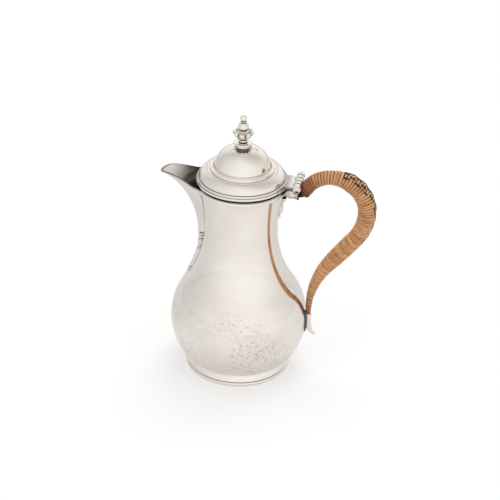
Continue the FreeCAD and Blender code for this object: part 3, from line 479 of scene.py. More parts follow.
# Upper socket: a level silver tube with a lipped mouth for the handle, soldered to the neck by the hinge.
# Its root is cut to the neck's round, and a cross pin holds the handle's wooden tenon in it.
socket_z, socket_r, socket_lip, socket_bore, socket_throat = 154.1, 5.1, 0.5, 3.5, 4.3
socket_root, socket_mouth, socket_lip_x = 31.0, 43.7, 41.6
socket_outline = [(socket_bore, socket_root), (socket_throat, socket_root), (socket_throat, 35.6),
                  (4.75, 35.75), (socket_r, 36.2), (socket_r, 41.2), (socket_r + 0.1, 41.7),
                  (socket_r + socket_lip, 42.1), (socket_r + socket_lip, 43.3),
                  (socket_r + 0.2, socket_mouth), (socket_bore, socket_mouth)]
socket_shape = spun_shape(socket_outline, axis="X", centre=(0, 0, socket_z), steps=64)
for vert in socket_shape.verts:
    if vert.co.x < (socket_root + 0.1) * MM:
        wall_middle = (neck_radius(vert.co.z / MM) - wall / 2) * MM
        vert.co.x = math.sqrt(wall_middle ** 2 - vert.co.y ** 2)


def socket_shade(place):
    """Painted shade on the upper socket: a little all over, more at its root and in the groove behind its
    lip, and black at its mouth.
    """
    root = 1 - (place.x - 33.5) / 3.0
    groove = 1 - abs(place.x - socket_lip_x) / 0.6
    return 0.9 * max(0.3, root, place.x - socket_lip_x - 0.3, groove)


darken(socket_shape, socket_shade)
silver_piece("upper_socket_tube", socket_shape, "pot", "upper_socket")

# Socket drop: a cast silver ornament under the upper socket: a moulding, a bead, a teardrop and a bead.
# It is soldered to the neck below the socket, like the drop under the spout.
socket_drop_knots = [(0, 3.2, 3.0), (1.6, 3.2, 3.0), (2.1, 1.6, 1.6), (3.6, 2.3, 2.4), (5.2, 1.2, 1.3),
                     (9.5, 2.7, 2.5), (13, 2.2, 2.2), (15.9, 0.9, 1.1), (17.4, 1.6, 1.7), (19, 0.3, 0.1)]
socket_drop = relief_shape(socket_drop_knots, socket_z - socket_r, 1, across=16, down=90)
silver_piece("socket_drop_cast", socket_drop, "pot", "socket_drop")

# Handle core: a dark stained wood loop, seen where it leaves the upper socket and at its thin tang.
# Both ends are pinned in their sockets. Only its grain is made here: the shape is the CAD node's own.
wood, wood_tree, wood_shader = new_finish("dark_wood")
wood_place = add_node(wood_tree, "TexCoord")["Object"]
wood_stretch = add_node(wood_tree, "Mapping", {"Vector": wood_place, "Scale": (60, 400, 60)})["Vector"]
wood_tint = ramp(noise(wood_stretch, 3.0, 5.0), (0.0, (0.018, 0.008, 0.006)), (1.0, (0.075, 0.028, 0.016)))
feed(wood_shader, {"Base Color": wood_tint, "Roughness": 0.6, "Specular IOR Level": 0.2})


def paint_node(node, finish):
    """Put a procedural finish on a CAD node that shows as it is."""
    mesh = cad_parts[node].data
    mesh.materials.clear()
    mesh.materials.append(finish)


paint_node("handle_core", wood)

# Cane binding: split cane wound tightly round the wooden core from socket to socket in about eighty turns.
# A domed strip is wound along a straight line and then bent onto the handle's route, each turn uneven.
# The cane is stained dark at the upper socket and redder at the lower one. Painted shade darkens it between
# its turns and on its inner side towards the lower socket.
handle_rise, kink_arc, kink_lead = 15.6, 5.0, 32.0
top_x, top_arc, crest_arc, back_arc, tail_arc = rim_r + 34.0, 22.5, 26.6, 40.0, 70.0
handle_lean = 38.0
tang_x, low_socket_top = belly_r + 1.8, 49.0
crest_z = socket_z + handle_rise
top_centre = Vector((top_x, crest_z - top_arc))
kink_z = socket_z + kink_arc
kink_centre = Vector((top_x - math.sqrt((top_arc + kink_arc) ** 2 - (kink_z - top_centre.y) ** 2), kink_z))
kink_end = bearing(kink_centre, top_centre)
crest_centre = Vector((top_x, crest_z - crest_arc))
back_centre = Vector((top_x + crest_arc - back_arc, crest_centre.y))
sin_lean, cos_lean = math.sin(math.radians(handle_lean)), math.cos(math.radians(handle_lean))
straight_top = back_centre + Vector((cos_lean, -sin_lean)) * back_arc
straight_run = (straight_top.x - tang_x - tail_arc * (1 - cos_lean)) / sin_lean
straight_end = straight_top - Vector((sin_lean, cos_lean)) * straight_run
tail_centre = straight_end + Vector((cos_lean, -sin_lean)) * tail_arc
handle_route = [(kink_centre, kink_arc, kink_end - kink_lead, kink_end),
                (top_centre, top_arc, kink_end + 180, 90), (crest_centre, crest_arc, 90, 0),
                (back_centre, back_arc, 0, -handle_lean), (straight_top, straight_end),
                (tail_centre, tail_arc, 180 - handle_lean, 180)]


def route_length(stretch):
    """Length of a straight stretch (two ends) or an arc (centre, radius, first and last degrees)."""
    if len(stretch) == 2:
        return (stretch[1] - stretch[0]).length
    return stretch[1] * math.radians(abs(stretch[3] - stretch[2]))


tang_run = tail_centre.y - low_socket_top
handle_length = sum(route_length(stretch) for stretch in handle_route) + tang_run


def on_handle(distance):
    """Point of the handle's middle line and its outward normal, in millimetres in the handle's plane."""
    for stretch in handle_route:
        length = route_length(stretch)
        if distance <= length:
            break
        distance -= length
    else:
        return tail_centre + Vector((-tail_arc, -distance)), Vector((1, 0))
    if len(stretch) == 2:
        way = (stretch[1] - stretch[0]).normalized()
        return stretch[0] + way * distance, Vector((-way.y, way.x))
    centre, radius, first, last = stretch
    angle = math.radians(first + (last - first) * distance / length)
    spoke = Vector((math.cos(angle), math.sin(angle)))
    return centre + spoke * radius, spoke * (1 if last < first else -1)


def round_handle(distance, turn, reach):
    """Place in metres at a turn round the handle, a reach in millimetres from its middle line."""
    middle, normal = on_handle(distance)
    spoke = normal * math.cos(turn) * reach
    return Vector((middle.x + spoke.x, math.sin(turn) * reach, middle.y + spoke.y)) * MM


# Radius of the bound handle, as (share of the way, millimetres)
grip = [(0.0, 5.2), (0.03, 5.6), (0.15, 5.6), (0.25, 6.85), (0.4, 6.8), (0.61, 6.8), (0.69, 6.4),
        (0.83, 4.2), (0.92, 2.8), (1.0, 1.9)]


def grip_radius(share):
    """Radius of the bound handle at a share of its way."""
    for (a, low), (b, high) in zip(grip, grip[1:]):
        if share <= b:
            break
    ease = min(max((share - a) / (b - a), 0), 1)
    return low + (high - low) * ease


def unevenness(number):
    """A repeatable value from 0 to 1 for a number."""
    value = math.sin(number * 12.9898 + 4.1) * 43758.5453
    return value - math.floor(value)


cane_turns, cane_thick = 82, 1.15
turn_drift, drift_lean, drift_phase = 0.16, 0.3, 6.3
least_thick, thick_spread, rise_spread = 0.9, 0.35, 0.12
cane_pitch = handle_length / cane_turns
shade_from, shade_run, shade_most = 0.82, 0.16, 0.7
half_strip = [(0.0, -0.49), (0.3, -0.485), (0.68, -0.39), (0.93, -0.2)]    # shares of height and width
strip = half_strip + [(1.0, 0.0)] + [(rise, -wide) for rise, wide in reversed(half_strip)]
mandrel, steps_per_turn = 10.0, 28
cane = bmesh.new()
strip_verts = [cane.verts.new((mandrel + rise, 0, wide)) for rise, wide in strip]
strip_edges = [cane.edges.new(pair) for pair in zip(strip_verts, strip_verts[1:])]
bmesh.ops.spin(cane, geom=strip_verts + strip_edges, cent=(0, 0, 0), axis=(0, 0, 1), angle=2 * math.pi,
               dvec=(0, 0, 1 / steps_per_turn), steps=steps_per_turn, use_duplicate=False)
first_turn = cane.verts[:] + cane.edges[:] + cane.faces[:]
for number in range(1, cane_turns):
    next_turn = bmesh.ops.duplicate(cane, geom=first_turn)["geom"]
    turn_verts = [part for part in next_turn if isinstance(part, bmesh.types.BMVert)]
    bmesh.ops.translate(cane, verts=turn_verts, vec=(0, 0, number))
bmesh.ops.remove_doubles(cane, verts=cane.verts, dist=1e-4)
cane_marks = ("cane_turn", "cane_way", "cane_edge", "cane_shade")
turn_layer, way_layer, edge_layer, shade_layer = [cane.verts.layers.float.new(mark) for mark in cane_marks]
for vert in cane.verts:
    angle = math.atan2(vert.co.y, vert.co.x)
    number = round(vert.co.z - angle / (2 * math.pi))
    height = vert.co.xy.length - mandrel
    drift = turn_drift * math.sin(angle + drift_phase * unevenness(number + 0.5))
    drift *= unevenness(number + 200) - drift_lean
    distance = min(max((vert.co.z + drift) * cane_pitch, 0), handle_length)
    share = distance / handle_length
    vert[turn_layer] = unevenness(number)
    vert[way_layer] = share
    vert[edge_layer] = 1 - height
    # Painted shade on the inner side of the handle's lower end
    low_end = min(max((share - shade_from) / shade_run, 0), 1)
    vert[shade_layer] = shade_most * max(0, -math.cos(angle)) * low_end
    thick = cane_thick * (height - 1) * (least_thick + thick_spread * unevenness(number + 77))
    reach = grip_radius(share) + thick + rise_spread * (unevenness(number + 31) - 0.5)
    vert.co = round_handle(distance, angle, reach)
face_outwards(cane)

cane_finish, cane_tree, cane_shader = new_finish("split_cane")
clean = (1, 1, 1)
cane_way = mark_value(cane_tree, "cane_way")
cane_tint = ramp(mark_value(cane_tree, "cane_turn"), (0.0, (0.70, 0.345, 0.14)), (1.0, (0.94, 0.53, 0.26)))
cane_age = ramp(cane_way, (0.004, (0.05, 0.02, 0.012)), (0.03, (0.36, 0.19, 0.15)), (0.13, clean),
                (0.88, clean), (1.0, (0.5, 0.29, 0.24)))
cane_place = add_node(cane_tree, "TexCoord")["Object"]
cane_grime = ramp(noise(cane_place, 260.0, 3.0), (0.28, (0.55, 0.45, 0.38)), (0.5, clean))
# Painted shade in the gaps between turns, less further along, and on the inner side near the lower end
cane_depth = remap(mark_value(cane_tree, "cane_edge"), 0.2, 0.8, 0.0, 0.97)
cane_gap_shade = combine("MULTIPLY", cane_depth, remap(cane_way, 0.15, 0.5, 1.0, 0.6))
cane_gap_shade = combine("MAXIMUM", cane_gap_shade, mark_value(cane_tree, "cane_shade"))
cane_colour = stain_and_shade(cane_tint, 0.9, cane_age, "MULTIPLY")
cane_colour = stain_and_shade(cane_colour, 0.6, cane_grime, "MULTIPLY")
cane_colour = stain_and_shade(cane_colour, cane_gap_shade, (0.07, 0.03, 0.014))
feed(cane_shader, {"Base Color": cane_colour, "Roughness": 0.5})
dress(finished("cane_binding_wound", cane, sharp=70), "pot", "cane", cane_finish, "cane_binding")

# Cane lacing: dark strips of cane drawn lengthwise through the turns along the handle's back.
# Each goes over two turns and under the next two, out of step with its neighbour, so that dark checks show.
lace_from, lace_wide, lace_thick = 0.2, 1.6, 0.5
lace_lift, lace_sink, lace_snap, lace_camber = 0.22, 0.06, 2.2, 0.12
lace_lanes = [(-44, 0.31), (-22, 0.40), (0, 0.52), (22, 0.56)]    # tilt in degrees, share of the way
lacing = bmesh.new()
for lane, (tilt, lace_to) in enumerate(lace_lanes):
    for vert in bmesh.ops.create_grid(lacing, x_segments=4, y_segments=340, size=1.0)["verts"]:
        distance = handle_length * (lace_from + (lace_to - lace_from) * (vert.co.y + 1) / 2)
        wave = math.sin(math.pi * (distance / cane_pitch / 2 + lane))
        lift = lace_lift * max(-1, min(1, lace_snap * wave)) - lace_sink
        reach = grip_radius(distance / handle_length) + lift - lace_camber * vert.co.x ** 2
        turn = math.radians(tilt) + lace_wide / 2 * vert.co.x / reach
        vert.co = round_handle(distance, turn, reach)
face_outwards(lacing)
lace_finish, lace_tree, lace_shader = new_finish("dark_cane")
lace_place = add_node(lace_tree, "TexCoord")["Object"]
lace_tint = ramp(noise(lace_place, 420.0, 2.0), (0.35, (0.030, 0.016, 0.010)), (0.7, (0.17, 0.09, 0.05)))
feed(lace_shader, {"Base Color": lace_tint, "Roughness": 0.7, "Specular IOR Level": 0.15})
lacing_piece = finished("cane_lacing_woven", lacing, sharp=60)
give_wall(dress(lacing_piece, "pot", "dark_cane", lace_finish, "cane_lacing"), lace_thick)

# Lower socket: a cast silver cup for the handle's tang, with a spur that kicks outwards and ends in a curl.
# It stands on a leaf-shaped pad that is soldered to the belly and darkened all over with painted shade.
low_socket_z, low_socket_r, low_bore, low_lip = 36.0, 2.24, 1.1, 0.5
low_mouth = [(0.2, 0), (low_lip, 0.4), (low_lip, 1.1), (0.15, 1.5), (0, 2.0)]    # out, down
low_outline = [(low_bore, low_socket_top)]
low_outline += [(low_socket_r + out, low_socket_top - down) for out, down in low_mouth]
low_foot = [(low_socket_r, 1.5), (1.9, 0.2), (low_bore, -0.3)]    # radius, up
low_outline += [(radius, low_socket_z + up) for radius, up in low_foot]
low_cast = spun_shape(low_outline, centre=(tang_x, 0, 0), steps=48)
curl_r = 1.35
spur_radii = [2.2, 2.1, 1.7, 1.2, 0.9]
spur_path = [Vector((tang_x + out, 0, low_socket_z + up)) for out, up in
             ((0, 4.0), (0.8, 0.6), (1.9, -2.0), (3.2, -3.8), (4.6, -4.4))]
rings = []
befores, afters = spur_path[:1] + spur_path, spur_path[1:] + spur_path[-1:]
for place, radius, before, after in zip(spur_path, spur_radii, befores, afters):
    heading = (after - before).to_track_quat("Z", "Y").to_matrix().to_4x4()
    ring = bmesh.ops.create_circle(low_cast, cap_ends=False, radius=radius * MM, segments=28,
                                   matrix=Matrix.Translation(place * MM) @ heading)["verts"]
    rings.append(list({edge for vert in ring for edge in vert.link_edges}))
for low, high in zip(rings, rings[1:]):
    bmesh.ops.bridge_loops(low_cast, edges=low + high)
bmesh.ops.create_uvsphere(low_cast, u_segments=24, v_segments=14, radius=curl_r * MM,
                          matrix=Matrix.Translation(spur_path[-1] * MM))
face_outwards(low_cast)
# Painted shade on the cup, darkest on its side towards the belly
darken(low_cast, lambda place: 0.8 - 0.35 * (place.x - belly_r))
silver_piece("lower_socket_cup", low_cast, "pot", "lower_socket")

low_pad_rise, low_pad_shade = 3.0, 0.88
low_pad_knots = [(0, 0.4, 0.1), (1.5, 1.6, 1.0), (5, 3.5, 1.3), (14, 3.4, 1.3), (18, 1.9, 1.2),
                 (22, 0.3, 0.1)]
low_pad = relief_shape(low_pad_knots, low_socket_top + low_pad_rise, 1, across=16, down=60)
# The pad is painted dark all over with shade
darken(low_pad, lambda place: low_pad_shade)
silver_piece("lower_socket_pad", low_pad, "pot")

# Hinge saddle: a silver bar soldered across the upper socket, with three of the hinge's five knuckles.
# The knuckles are short tubes on one pin. Painted shade darkens them where they meet their neighbours, and
# darkens the bar just under them.
hinge_x, hinge_z, hinge_r, hinge_length = rim_r + 8.6, rim_z + 4.6, 3.0, 24.0
knuckle_count, knuckle_gap, pin_hole = 5, 0.25, 1.15
knuckle_w = (hinge_length - knuckle_gap * (knuckle_count - 1)) / knuckle_count
knuckle_starts = [-hinge_length / 2 + i * (knuckle_w + knuckle_gap) for i in range(knuckle_count)]


def add_knuckle(shape, start):
    """Join a knuckle with eased edges to a hinge half."""
    end = start + knuckle_w
    eased = [(hinge_r - 0.3, 0), (hinge_r - 0.08, 0.1), (hinge_r, 0.35), (hinge_r, 0.8)]
    outline = [(pin_hole, start)] + [(r, start + a) for r, a in eased]
    outline += [(r, end - a) for r, a in reversed(eased)] + [(pin_hole, end)]
    knuckle = spun_shape(outline, axis="Y", centre=(hinge_x, 0, hinge_z), steps=48)
    # Painted shade towards each knuckle's ends where it meets its neighbours, and a little at the hinge's
    # ends
    darken(knuckle, lambda place: 0.2 if abs(place.y) > hinge_length / 2 - 0.5
           else 1.0 - 1.1 * min(abs(place.y - start), abs(place.y - end)))
    holder = bpy.data.meshes.new("knuckle")
    knuckle.to_mesh(holder)
    knuckle.free()
    shape.from_mesh(holder)
    bpy.data.meshes.remove(holder)


def add_block(shape, low, high, ease):
    """Join a block with rounded edges, given by two corners in millimetres."""
    low, high = Vector(low) * MM, Vector(high) * MM
    place = Matrix.Translation((low + high) / 2) @ Matrix.Diagonal((*(high - low), 1))
    verts = bmesh.ops.create_cube(shape, size=1.0, matrix=place)["verts"]
    edges = list({edge for vert in verts for edge in vert.link_edges})
    bmesh.ops.bevel(shape, geom=edges, offset=ease * MM, offset_type="OFFSET", segments=2, profile=0.5,
                    affect="EDGES", material=-1)


saddle = bmesh.new()
saddle.verts.layers.float.new("shade_and_tarnish")
saddle_top = hinge_z - hinge_r - 2 * knuckle_gap
saddle_back, saddle_front, saddle_sink, knuckle_foot, knuckle_seat = 0.6, 2.4, 1.2, 1.3, 1.2
add_block(saddle, (hinge_x - saddle_front, -hinge_length / 2, socket_z + socket_r - saddle_sink),
          (hinge_x + saddle_back, hinge_length / 2, saddle_top), ease=0.15)
for start in knuckle_starts[0::2]:
    add_knuckle(saddle, start)
    add_block(saddle, (hinge_x - knuckle_foot, start, saddle_top - 0.3),
              (hinge_x + knuckle_foot, start + knuckle_w, hinge_z - knuckle_seat), ease=0.12)
# Painted shade on the bar, darkest just under the knuckles
darken(saddle, lambda place: 0.8 - 0.5 * abs(place.z - saddle_top) if place.z < hinge_z - 1.0 else 0)
silver_piece("hinge_saddle_cast", saddle, "pot", "hinge_saddle")
for node in ("hinge_pin", "upper_socket_pin", "lower_socket_pin"):
    paint_node(node, silver)

# Lid leaf: the silver plate from the lid's edge to the two knuckles that turn with the lid.
# It is soldered on the lid's rim. Its edges and underside carry painted shade, and its top is painted
# darker towards the lid.
leaf_t, leaf_half, leaf_inset, leaf_lap, leaf_shade = 1.8, hinge_length / 2 - knuckle_w / 2, 2.2, 1.0, 0.75
leaf_under = hinge_z - leaf_t
leaf = bmesh.new()
leaf.verts.layers.float.new("shade_and_tarnish")
add_block(leaf, (rim_r - leaf_inset, -leaf_half, leaf_under),
          (hinge_x - hinge_r - knuckle_gap, leaf_half, hinge_z), ease=0.2)
for start in knuckle_starts[1::2]:
    add_knuckle(leaf, start)
    add_block(leaf, (hinge_x - hinge_r - leaf_lap, start, leaf_under),
              (hinge_x - knuckle_foot, start + knuckle_w, hinge_z), ease=0.15)
# Painted shade on the leaf's underside and edges, and on its top growing towards the lid
darken(leaf, lambda place: leaf_shade if place.z < leaf_under + 0.3 or abs(place.y) > leaf_half - 0.15
       else 0.5 - 0.1 * (place.x - rim_r))
silver_piece("lid_leaf_plate", leaf, "lid", "lid_leaf")

# Lid rim: a turned silver ring with a rounded band over a shadow step painted black, then a narrow cove.
# It rests on the neck's rim, and the cover is soldered to its top.
lid_under, cover_seat, lid_r, bezel_r = rim_z + 0.25, rim_z + 5.45, rim_r + 0.3, 31.45
rim_inner, band_low, band_top = bezel_r - 2.0, lid_under + 1.2, lid_under + 3.6
step_out, cove_top_r = rim_r - 0.2, lid_r - 1.9
rim_outline = [(rim_inner, lid_under), (rim_r - 0.8, lid_under), (step_out, lid_under),
               (step_out, band_low), (lid_r - 0.5, band_low)]
rim_outline += curve_points([(lid_r - 0.45, band_low), (lid_r + 0.15, band_low + 0.2),
                             (lid_r + 0.15, band_top - 0.2), (lid_r - 0.5, band_top)], 12)
rim_outline += curve_points([(lid_r - 0.75, band_top + 0.05), (lid_r - 0.8, band_top + 0.9),
                             (lid_r - 1.3, cover_seat - 0.1), (cove_top_r, cover_seat)], 10)
rim_outline += [(rim_inner, cover_seat)]
lid_rim = spun_shape(rim_outline, steps=192)
# Painted shade and tarnish in the groove over the band, at the cover's seat and along the band's lower edge
groove_shade = ring_marks((lid_r - 0.65, band_top, 0.55, 1.0), (cove_top_r, cover_seat, 0.6, 0.8),
                         (lid_r, band_low, 1.1, 1.4))


def lid_rim_shade(place):
    """Painted shade on the lid's rim: black in the shadow step, with tarnish in its grooves, and grey
    beneath.
    """
    if place.z < band_low + 0.02 and step_out - 0.1 < place.xy.length < lid_r - 0.48:
        return 1.0
    return max(groove_shade(place), 0.2 if place.z < band_low else 0)


darken(lid_rim, lid_rim_shade)
silver_piece("lid_rim_turned", lid_rim, "lid", "lid_rim")

# Lid bezel: a plain silver ring soldered under the lid.
# It drops into the neck and centres the lid, and its lower edge is eased so that it finds its way in.
bezel_depth, bezel_wall, bezel_ease = 4.0, 1.0, 0.25
bezel_foot = lid_under - bezel_depth
bezel_outline = [(bezel_r - bezel_wall, lid_under), (bezel_r, lid_under), (bezel_r, bezel_foot + 0.1),
                 (bezel_r - bezel_ease, bezel_foot - bezel_ease),
                 (bezel_r - bezel_wall, bezel_foot - bezel_ease)]
silver_piece("lid_bezel_ring", spun_shape(bezel_outline, steps=160), "lid", "lid_bezel")

# Lid cover: one sheet of silver raised to a rounded shoulder, a flat step, a cove and a dome.
# It is soldered on the lid's rim and carries the finial, and its crown is the most worn.
lid_wall, shoulder_r, shoulder_bulge, step_r, step_z = 1.0, 32.6, 1.0, 26.8, cover_seat + 6.4
dome_r, dome_arc, dome_z = 20.8, 15.8, step_z + 1.75
crown_wear, crown_wear_r, crown_wear_fade = 1.5, 7.0, 7.0
crown_z = dome_z + dome_arc
chord = Vector((step_r - shoulder_r, step_z - cover_seat))
shoulder_arc = ((chord.length / 2) ** 2 + shoulder_bulge ** 2) / (2 * shoulder_bulge)
shoulder_in = Vector((chord.y, -chord.x)).normalized() * (shoulder_arc - shoulder_bulge)
shoulder_centre = Vector((shoulder_r, cover_seat)) + chord / 2 - shoulder_in
shoulder_foot = bearing(shoulder_centre, (shoulder_r, cover_seat))
shoulder_top = bearing(shoulder_centre, (step_r, step_z))
cover_outline = arc_points(shoulder_centre, shoulder_arc, shoulder_foot, shoulder_top, 16)
cover_outline += curve_points([(step_r - 0.6, step_z + 0.1), (23.2, step_z + 0.1), (21.2, step_z + 0.5),
                               (dome_r, dome_z)], 14)
cover_outline += arc_points((dome_r - dome_arc, dome_z), dome_arc, 0, 90, 40)[1:]
cover_outline += [(3.0, crown_z), (0, crown_z)]
cover = spun_shape(cover_outline, closed=False, steps=192)
# Painted shade and tarnish on both sides of the lid ring, at the step's edge and round the finial's foot
darken(cover, ring_marks((25.0, step_z, 1.0, 0.2), (22.0, step_z + 0.6, 0.8, 0.25),
                         (5.0, crown_z, 2.5, 0.8), (step_r, step_z, 0.5, 0.5)))
darken(cover, lambda place: crown_wear - max(place.xy.length - crown_wear_r, 0) / crown_wear_fade,
       mark="wear")
cover_piece = silver_piece("lid_cover_raised", cover, "lid", "lid_cover", sharp=40)
give_wall(cover_piece, lid_wall, dull_silver)

# Lid ring: a round silver wire soldered on the flat step, round the foot of the dome.
# It hides the turn from the step to the cove.
ring_r, ring_wire = 23.4, 1.2
ring_outline = arc_points((ring_r, step_z + ring_wire), ring_wire, 0, 345, 23)
silver_piece("lid_ring_wire", spun_shape(ring_outline, steps=192), "lid", "lid_ring")

# Finial base: a turned silver collar with a hollow waist, a disc, a stem and a small ring.
# It stands on the crown of the dome, held by a stud from inside, and its hollows are blackened with painted
# shade and tarnish.
disc_z = crown_z + 3.0
stem_z = disc_z + 1.6
calyx_z = stem_z + 2.6
collar_r, waist_r, disc_r, disc_edge, stem_r, stem_ring = 5.0, 3.4, 6.35, 0.8, 2.6, 0.9
base_outline = [(0, crown_z - 0.1), (collar_r, crown_z - 0.1)]
base_outline += curve_points([(collar_r, crown_z + 0.1), (waist_r, crown_z + 0.7), (waist_r, disc_z - 0.8),
                              (collar_r, disc_z)], 10)
base_outline += arc_points((disc_r, disc_z + disc_edge), disc_edge, -90, 90, 12)
base_outline += curve_points([(6.2, stem_z + 0.05), (4.2, stem_z + 0.05), (2.7, stem_z + 0.1),
                              (stem_r, stem_z + 0.4)], 10)
base_outline += arc_points((stem_r, stem_z + 1.3), stem_ring, -90, 90, 12)
base_outline += [(stem_r, calyx_z), (0, calyx_z)]
finial_base = spun_shape(base_outline, steps=96)
# Painted shade and tarnish in the waist, at the foot, above the disc and under the calyx
darken(finial_base, ring_marks((4.3, disc_z - 0.4, 1.3, 1.1), (4.9, crown_z + 0.2, 0.9, 0.9),
                               (2.9, stem_z + 0.2, 1.1, 1.1), (stem_r, calyx_z, 0.9, 1.1)))
silver_piece("finial_base_turned", finial_base, "lid", "finial_base")

# Finial calyx: a cast silver cup of eight leaves that open and curl over at their tips.
# It sits on the stem of the base, and is spun round first and then drawn in and down between the leaves.
leaves, calyx_h, leaf_notch, leaf_drop = 8, 6.6, 0.26, 0.9
calyx_outline = [(0, calyx_z), (stem_r, calyx_z)]
calyx_outline += curve_points([(2.7, calyx_z), (4.6, calyx_z + 0.4), (6.4, calyx_z + 2.2),
                               (7.2, calyx_z + 4.2)], 14)
calyx_outline += arc_points((6.9, calyx_z + 5.3), 1.25, -40, 150, 14)
calyx_outline += curve_points([(5.6, calyx_z + 5.6), (4.4, calyx_z + 4.6), (2.0, calyx_z + 4.0),
                               (0, calyx_z + 3.8)], 8)
calyx = spun_shape(calyx_outline, steps=192)


def leaf_middle(place):
    """1 along the middle of each leaf and 0 between two leaves."""
    return abs(math.cos(math.atan2(place.y, place.x) * leaves / 2))


def shade_between_leaves(place):
    """Painted shade on the calyx: between its leaves and low on its stem."""
    if place.z > calyx_z + 0.8:
        return 1.0 - 2.0 * leaf_middle(place)
    return 0.9 - 0.9 * (place.z - calyx_z)


for vert in calyx.verts:
    notch = 1 - leaf_middle(vert.co) ** 0.7
    opening = min(max((vert.co.z / MM - calyx_z) / calyx_h, 0), 1) ** 1.2
    drawn_in = 1 - leaf_notch * opening * notch
    vert.co.x *= drawn_in
    vert.co.y *= drawn_in
    vert.co.z -= leaf_drop * MM * opening * notch
darken(calyx, shade_between_leaves)
silver_piece("finial_calyx_leaves", calyx, "lid", "finial_calyx", sharp=60)

# Finial knop: a turned silver ball in the cup, a ringed neck and a bead at the very top.
# The stud that holds the whole finial ends in it, with a washer and a nut inside the dome.
knop_r, bead_r, knop_sink, neck_ring, bead_gap = 4.05, 2.6, 0.7, 0.5, 0.5
knop_z = calyx_z + calyx_h + knop_r - knop_sink
knop_top = knop_z + knop_r
bead_z = knop_top + bead_gap + bead_r
knop_outline = arc_points((0, knop_z), knop_r, -90, 66, 26)
knop_outline += arc_points((1.7, knop_top + 0.1), neck_ring, -60, 80, 8)
knop_outline += arc_points((0, bead_z), bead_r, -52, 90, 20)
knop = spun_shape(knop_outline, closed=False, steps=96)
# Painted shade and tarnish round the neck's ring, under the bead and where the ball sits in the cup
darken(knop, ring_marks((1.8, knop_top - 0.3, 0.9, 1.1), (1.6, knop_top + 0.7, 0.8, 1.1),
                        (3.6, knop_z - 1.9, 1.4, 1.1)))
silver_piece("finial_knop_turned", knop, "lid", "finial_knop")
for node in ("finial_stud", "finial_washer", "finial_nut"):
    paint_node(node, silver)

# Stage: a pale floor, an even white surround and three soft lamps.
# The silver mirrors a surround that is brightest before and behind the pot and dimmer high on one side.
# The camera stands where the photograph was taken from, a little above the pot and to the handle's side.
white = (1, 1, 1, 1)
front_side, back_side, dim_side = (0.36, -0.93, 0), (0, 1, 0), (0.53, 0.13, 0.84)
floor_half, floor_colour, floor_seen_glow, floor_shadow_glow = 6.0, (0.93, 0.93, 0.93, 1), 0.30, 0.165
floor_shape = bmesh.new()
bmesh.ops.create_grid(floor_shape, x_segments=1, y_segments=1, size=floor_half)
floor = finished("floor", floor_shape)
floor_finish, floor_tree, floor_shader = new_finish("pale_floor")
floor.data.materials.append(floor_finish)


def seen_ray(path):
    """1 where a ray comes from the camera, a mirror or a clear piece, and 0 where it only carries light."""
    mirrored = combine("MAXIMUM", path["Is Camera Ray"], path["Is Glossy Ray"])
    return combine("MAXIMUM", mirrored, path["Is Transmission Ray"])


def glow(where, towards, start, low, high):
    """A level from low, at a start value of the cosine, to high where a direction faces the given one."""
    face = add_node(where.id_data, "VectorMath", {0: where}, operation="NORMALIZE")["Vector"]
    facing = add_node(where.id_data, "VectorMath", {0: face, 1: towards}, operation="DOT_PRODUCT")["Value"]
    return remap(facing, start, 1.0, low, high)


def pick(choice, low, high):
    """Blend two levels by a choice from 0 to 1."""
    return add_node(choice.id_data, "Mix", {"Factor": choice, "A": low, "B": high})["Result"]


floor_place = add_node(floor_tree, "TexCoord")["Object"]
floor_path = add_node(floor_tree, "LightPath")
floor_reach = add_node(floor_tree, "VectorMath", {0: floor_place}, operation="LENGTH")["Value"]
# Seen in the silver, the floor carries painted light and shade: close round the pot it glows at a set low
# level, and further out its glow grows with distance and towards the front. To the camera it glows evenly.
near_glow = glow(floor_place, front_side, -0.6, 0.0, 0.20)
far_glow = glow(floor_place, front_side, -0.6, 0.0, 0.37)
floor_glow = pick(remap(floor_reach, 0.15, 1.2), near_glow, far_glow)
floor_glow = pick(remap(floor_reach, 0.05, 0.15), floor_shadow_glow, floor_glow)
floor_glow = pick(floor_path["Is Camera Ray"], floor_glow, floor_seen_glow)
floor_glow = pick(seen_ray(floor_path), 0.0, floor_glow)
feed(floor_shader, {"Base Color": floor_colour, "Roughness": 0.9, "Emission Color": white,
                    "Emission Strength": floor_glow})

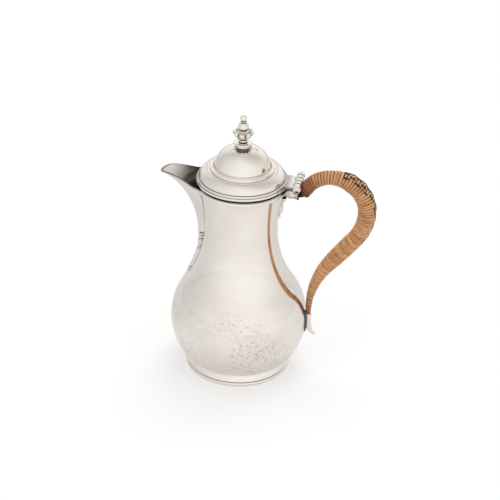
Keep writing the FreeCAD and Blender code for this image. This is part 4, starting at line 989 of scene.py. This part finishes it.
world = bpy.data.worlds.new("white_surround")
bpy.context.scene.world = world
world.use_nodes = True
world_tree, world_light = world.node_tree, 0.62
world_place = add_node(world_tree, "TexCoord")["Generated"]
world_path = add_node(world_tree, "LightPath")
world_flat = add_node(world_tree, "VectorMath", {0: world_place, 1: (1, 1, 0.4)},
                      operation="MULTIPLY")["Vector"]
front_glow = glow(world_flat, front_side, -1.0, 0.59, 1.01)
back_glow = glow(world_flat, back_side, 0.3, 0.55, 1.05)
dim_glow = glow(world_place, dim_side, 0.75, 1.0, 0.80)
world_glow = combine("MAXIMUM", front_glow, back_glow)
world_glow = combine("MULTIPLY", world_glow, dim_glow)
world_glow = pick(world_path["Is Camera Ray"], world_glow, 1.0)
world_glow = pick(seen_ray(world_path), world_light, world_glow)
feed(world_tree.nodes["Background"], {"Color": white, "Strength": world_glow})

lamp_aim = Vector((0, 0, 0.09))
lamps = [("overhead", (0.15, 0.55, 1.5), 0.7, 3.4), ("key_left", (-1.1, -1.3, 1.5), 1.0, 2.4),
         ("fill_right", (1.4, -0.6, 1.2), 1.0, 1.2)]    # name, place, width and watts
for lamp_name, place, size, watts in lamps:
    lamp = bpy.data.lights.new(lamp_name, "AREA")
    lamp.size = size
    lamp.energy = watts
    lamp_piece = bpy.data.objects.new(lamp_name, lamp)
    lamp_piece.location = place
    lamp_piece.rotation_euler = (lamp_aim - Vector(place)).to_track_quat("-Z", "Y").to_euler()
    lamp_piece.visible_glossy = False
    bpy.context.scene.collection.objects.link(lamp_piece)

camera_turn, camera_rise, camera_roll = math.radians(9.0), math.radians(30.697), math.radians(1.453)
camera_aim, camera_gap = Vector((0, 0, 0.095)), 1.6
picture_px, focal_px, axis_px = 500, 2088.0, (240.272, 254.571)
look = Matrix.Rotation(camera_turn, 3, "Z") @ Vector((0, math.cos(camera_rise), -math.sin(camera_rise)))
level = Matrix.Rotation(camera_turn, 3, "Z") @ Vector((1, 0, 0))
lift = level.cross(look)
side = level * math.cos(camera_roll) + lift * math.sin(camera_roll)
upward = lift * math.cos(camera_roll) - level * math.sin(camera_roll)
camera = bpy.data.cameras.new("photograph_view")
camera.sensor_width = 36.0
camera.lens = focal_px / picture_px * camera.sensor_width
camera.shift_x = (picture_px / 2 - axis_px[0]) / picture_px
camera.shift_y = (axis_px[1] - picture_px / 2) / picture_px
camera_piece = bpy.data.objects.new("photograph_view", camera)
camera_place = Matrix.Translation(camera_aim - look * camera_gap)
camera_piece.matrix_world = camera_place @ Matrix((side, upward, -look)).transposed().to_4x4()
bpy.context.scene.collection.objects.link(camera_piece)
bpy.context.scene.camera = camera_piece
bpy.context.scene.view_settings.view_transform = "Standard"
